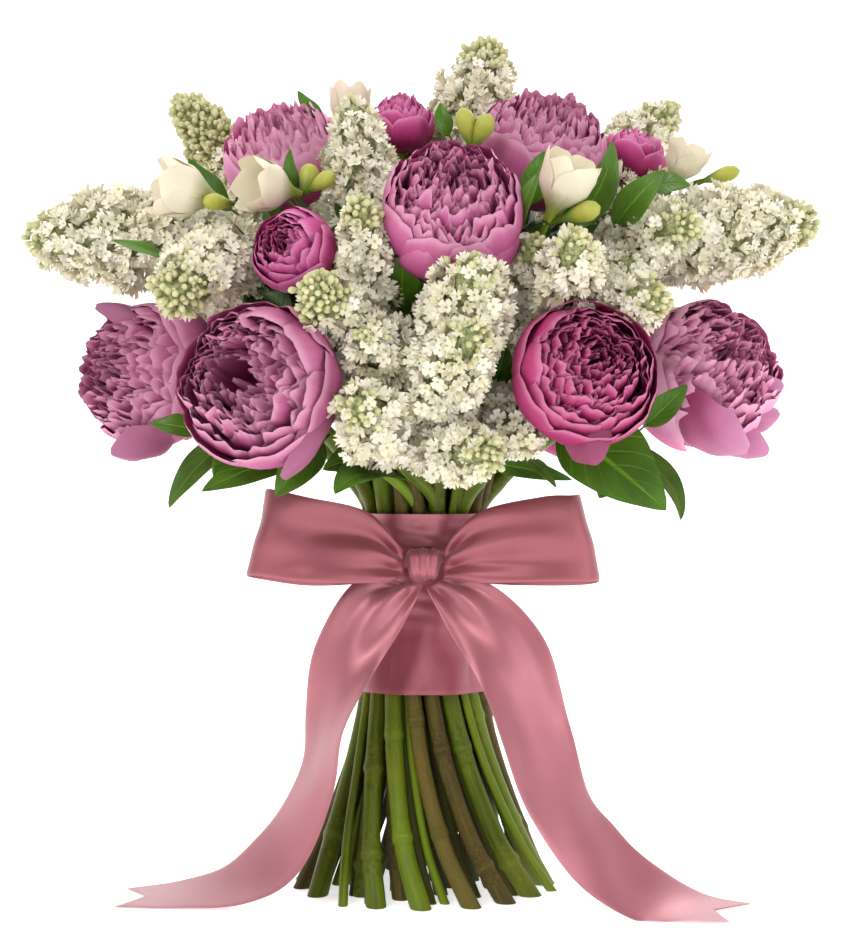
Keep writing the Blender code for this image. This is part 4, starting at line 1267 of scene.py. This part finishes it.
class BUNCH_OT_ribbon(Operator):
    """Makes the ribbon round the waist and the bow"""

    bl_idname = "bunch.ribbon"
    bl_label = "Ribbon and bow"

    def execute(self, context):
        settings = context.scene.bunch_ribbon
        # one ribbon in three tones: the loops take a darker copy of the satin as painted shade and the tails a lighter
        # copy as painted light
        satin, loops, tails = (
            satin_finish(name, np.array(settings.satin) * tone)
            for name, tone in (
                ("ribbon_satin", (1.04, 1.06, 1.06)),
                ("ribbon_satin_painted_shade", (0.90, 0.82, 0.82)),
                ("ribbon_satin_painted_light", (1.12, 1.34, 1.28)),
            )
        )
        self.wrap(settings, satin)
        self.knot(settings, satin)
        for side, word, height in ((-1, "left", 212), (1, "right", 209)):

            def loop_crease(s, t):
                near = np.exp(-s / 0.13) + np.exp(-(1 - s) / 0.13)
                ends = smooth(s, 0.0, 0.05) * smooth(1 - s, 0.0, 0.05)
                pleats = 0.0040 * near * ends * np.sin(7.5 * t + 1.1 * side + 2.5 * s)
                belly = 0.0030 * np.exp(-(((s - 0.20) / 0.09) ** 2)) * np.sin(3.0 * t - 0.7 + 6 * s)
                return pleats + belly + 0.0010 * np.sin(16 * s + 2.5 * t + side) * ends

            points, mark = strip(bow_loop_stations(side, height), 120, 33, loop_crease)
            self.cloth(f"loop_{word}", points, mark, settings, loops, f"bow_loop_{word}", "folded")
        for stations, word in ((LEFT_TAIL, "left"), (RIGHT_TAIL, "right")):

            def tail_crease(s, t):
                pleats = 0.0036 * np.exp(-s / 0.12) * smooth(s, 0, 0.04) * np.sin(6.5 * t + 0.9)
                sway = 0.0022 * np.sin(14 * s + 1.8 * t) * (1 - smooth(s, 0.66, 0.82))
                return pleats + sway

            points, mark = strip(stations, 120, 25, tail_crease, notch=0.016)
            points[..., 2] = np.maximum(points[..., 2], settings.thickness / 2)
            self.cloth(f"tail_{word}", points, mark, settings, tails, f"ribbon_tail_{word}", "hung")
        return {"FINISHED"}

    def cloth(self, name, points, mark, settings, satin, node, held):
        surface = Surface()
        surface.sheets(points[None], settings.thickness, mark[None])
        piece = surface.build(name, satin, "ribbon_satin", node)

    def wrap(self, settings, satin):
        """A sleeve whose radius follows the bundle, closed from its outer face round its hems to its inner."""
        z = np.array([117, 152, 190, 222])
        low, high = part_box("ribbon_wrap")
        radius = 0.0322 * flare(z) + 0.0006
        v = np.linspace(0, 1, 56)[:, None]
        a = np.linspace(0, TURN, 120, endpoint=False)[None, :]
        height = high[2] + (low[2] - high[2]) * v
        out = np.interp(height[:, 0], z * MM, radius)[:, None] + 0.0012
        ledge = smooth(height, 0.197, 0.200) * 0.0006
        folds = 0.0005 * np.sin(height * 700 + 4 * np.sin(a + 1)) * smooth(-np.abs(height - 0.190), -0.045, -0.01)
        soft = 0.0009 * np.sin(5 * a + height * 60) + 0.0007 * np.sin(9 * a - height * 110)
        outer = out + ledge + folds + soft
        inner = out - 0.0009 + 0 * a
        rings = np.concatenate([outer, inner[::-1]])
        heights = np.concatenate([height + 0 * a, (height + 0 * a)[::-1]])
        points = np.stack([rings * np.cos(a), rings * np.sin(a), heights], axis=-1)
        rows, sides = points.shape[:2]
        g = np.arange(rows * sides).reshape(rows, sides)
        right, down = np.roll(g, -1, axis=1), np.roll(g, -1, axis=0)
        quads = np.stack([g, down, np.roll(down, -1, axis=1), right], axis=-1).reshape(-1, 4)
        edge = np.concatenate([2 * v - 1, (2 * v - 1)[::-1]])
        mark = marks_of(edge, a * 0.7, 0.5)
        surface = Surface()
        surface.add(points, quads, mark=mark)
        piece = surface.build("wrap", satin, "ribbon_satin", "ribbon_wrap")

    def knot(self, settings, satin):
        """A band drawn tight: along X it swells and narrows, round X it is a rounded square, pleated."""
        low, high = (np.array(c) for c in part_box("bow_knot"))
        middle, half = (low + high) / 2, (high - low) / 2
        x = np.linspace(-1, 1, 49)[:, None]
        a = np.linspace(0, TURN, 72, endpoint=False)[None, :]
        square = (np.abs(np.cos(a)) ** 3.0 + np.abs(np.sin(a)) ** 3.0) ** (-1 / 3.0)
        barrel = (1 - 0.30 * np.abs(x) ** 4) * np.clip((1 - np.abs(x) ** 14), 0.02, 1) ** 0.5
        pleat = 1 + 0.045 * np.cos(9.5 * x + 0.5 * np.sin(a)) + 0.02 * np.cos(21 * x + a)
        reach = square * barrel * pleat * 0.95
        y, z = reach * np.cos(a) * half[1], reach * np.sin(a) * half[2]
        across = x * half[0] * (1 + 0.10 * np.sin(a)) * 0.95 + 0 * y
        points = middle + np.stack([across, y, z], axis=-1)
        mark = marks_of(0.5 * x, a, 0.5)
        surface = Surface()
        surface.closed_tube(points, mark)
        surface.build("knot", satin, "ribbon_satin", "bow_knot")


# --- stage ---
class BUNCH_OT_stage(Operator):
    """Makes the floor, the lights and the camera"""

    bl_idname = "bunch.stage"
    bl_label = "Stage"

    def execute(self, context):
        settings = context.scene.bunch_stage
        turn = np.linspace(0, math.pi / 2, 25)  # the floor turns up into a wall behind
        y = np.concatenate([[-20.0], 1.1 + 0.9 * np.sin(turn), [2.0]])
        z = np.concatenate([[0.0], 0.9 * (1 - np.cos(turn)), [5.0]])
        rows = np.stack([np.stack([x + 0 * y, y, z], axis=-1) for x in (-20.0, 20.0)], axis=1)
        g = np.arange(2 * len(y)).reshape(-1, 2)
        faces = np.stack([g[:-1, 0], g[:-1, 1], g[1:, 1], g[1:, 0]], axis=-1)
        mesh = bpy.data.meshes.new("floor")
        mesh.from_pydata(rows.reshape(-1, 3).tolist(), [], faces.tolist())
        mesh.shade_smooth()
        floor = bpy.data.objects.new("floor", mesh)
        context.scene.collection.objects.link(floor)
        f = Finish("floor", 0.7)
        f.shader.inputs["Base Color"].default_value = (*settings.floor, 1.0)
        f.shader.inputs["Emission Color"].default_value = WHITE
        f.shader.inputs["Emission Strength"].default_value = 0.62
        mesh.materials.append(f.material)
        world = bpy.data.worlds.new("studio")
        world.use_nodes = True
        nodes, links = world.node_tree.nodes, world.node_tree.links
        nodes["Background"].inputs[0].default_value = WHITE
        nodes["Background"].inputs[1].default_value = 0.50
        backdrop, choice, ray = (nodes.new("ShaderNode" + n) for n in ("Background", "MixShader", "LightPath"))
        backdrop.inputs[0].default_value = WHITE
        links.new(ray.outputs["Is Camera Ray"], choice.inputs[0])
        links.new(nodes["Background"].outputs[0], choice.inputs[1])
        links.new(backdrop.outputs[0], choice.inputs[2])
        links.new(choice.outputs[0], nodes["World Output"].inputs[0])
        context.scene.world = world
        for name, place, size, power, tint in (
            ("key", (-0.75, -1.25, 1.15), 0.75, 13.0, (1.0, 0.985, 0.96)),
            ("fill", (1.2, -1.0, 0.6), 0.8, 6.5, (0.97, 0.98, 1.0)),
            ("top", (0.0, 0.1, 1.7), 0.9, 7.5, (1.0, 1.0, 1.0)),
            ("back", (0.5, 1.0, 1.2), 0.8, 6.0, (1.0, 1.0, 1.0)),
        ):
            light = bpy.data.lights.new(name, "AREA")
            light.shape = "DISK"
            light.size = size
            light.energy = power
            light.color = tint
            lamp = bpy.data.objects.new(name, light)
            context.scene.collection.objects.link(lamp)
            away = unit(np.array(place) - (0, 0, 0.28))
            x = unit(np.cross((0, 0, 1), away))
            turn = np.eye(4)
            turn[:3, :3] = np.stack([x, np.cross(away, x), away], axis=1)
            turn[:3, 3] = place
            lamp.matrix_world = Matrix(turn.tolist())
        camera = bpy.data.cameras.new("camera")
        camera.sensor_width = 36
        camera.lens = camera.sensor_width * settings.zoom
        eye = bpy.data.objects.new("camera", camera)
        context.scene.collection.objects.link(eye)
        eye.location = (0.0048, -settings.distance, settings.height)
        eye.rotation_euler = (math.pi / 2, 0, 0)
        context.scene.camera = eye
        context.scene.view_settings.view_transform = "Standard"
        return {"FINISHED"}


class BUNCH_PT_panel(Panel):
    """Lists the pieces of the bunch"""

    bl_idname = "BUNCH_PT_panel"
    bl_label = "Bunch of peonies"
    bl_space_type = "VIEW_3D"
    bl_region_type = "UI"
    bl_category = "Bunch"

    def draw(self, context):
        for group, operators in SECTIONS:
            box = self.layout.box()
            settings = getattr(context.scene, group)
            for name in settings.__annotations__:
                box.prop(settings, name)
            for name in operators:
                box.operator(name)


SETTINGS = {
    "bunch_peony": PeonySettings,
    "bunch_lilac": LilacSettings,
    "bunch_freesia": FreesiaSettings,
    "bunch_green": GreenSettings,
    "bunch_ribbon": RibbonSettings,
    "bunch_stage": StageSettings,
}
SECTIONS = (
    ("bunch_peony", ("bunch.peonies",)),
    ("bunch_lilac", ("bunch.lilac",)),
    ("bunch_freesia", ("bunch.freesia",)),
    ("bunch_green", ("bunch.stems", "bunch.leaves")),
    ("bunch_ribbon", ("bunch.ribbon",)),
    ("bunch_stage", ("bunch.stage",)),
)
CLASSES = (
    *SETTINGS.values(),
    BUNCH_OT_peonies,
    BUNCH_OT_lilac,
    BUNCH_OT_freesia,
    BUNCH_OT_stems,
    BUNCH_OT_leaves,
    BUNCH_OT_ribbon,
    BUNCH_OT_stage,
    BUNCH_PT_panel,
)


def register():
    for cls in CLASSES:
        bpy.utils.register_class(cls)
    for name, group in SETTINGS.items():
        setattr(bpy.types.Scene, name, PointerProperty(type=group))


def unregister():
    for name in SETTINGS:
        delattr(bpy.types.Scene, name)
    for cls in reversed(CLASSES):
        bpy.utils.unregister_class(cls)


def main():
    """Registers the classes and makes every piece in order."""
    register()
    bpy.ops.bunch.peonies()
    bpy.ops.bunch.lilac()
    bpy.ops.bunch.freesia()
    bpy.ops.bunch.stems()
    bpy.ops.bunch.leaves()
    bpy.ops.bunch.ribbon()
    bpy.ops.bunch.stage()


if __name__ == "__main__":
    main()
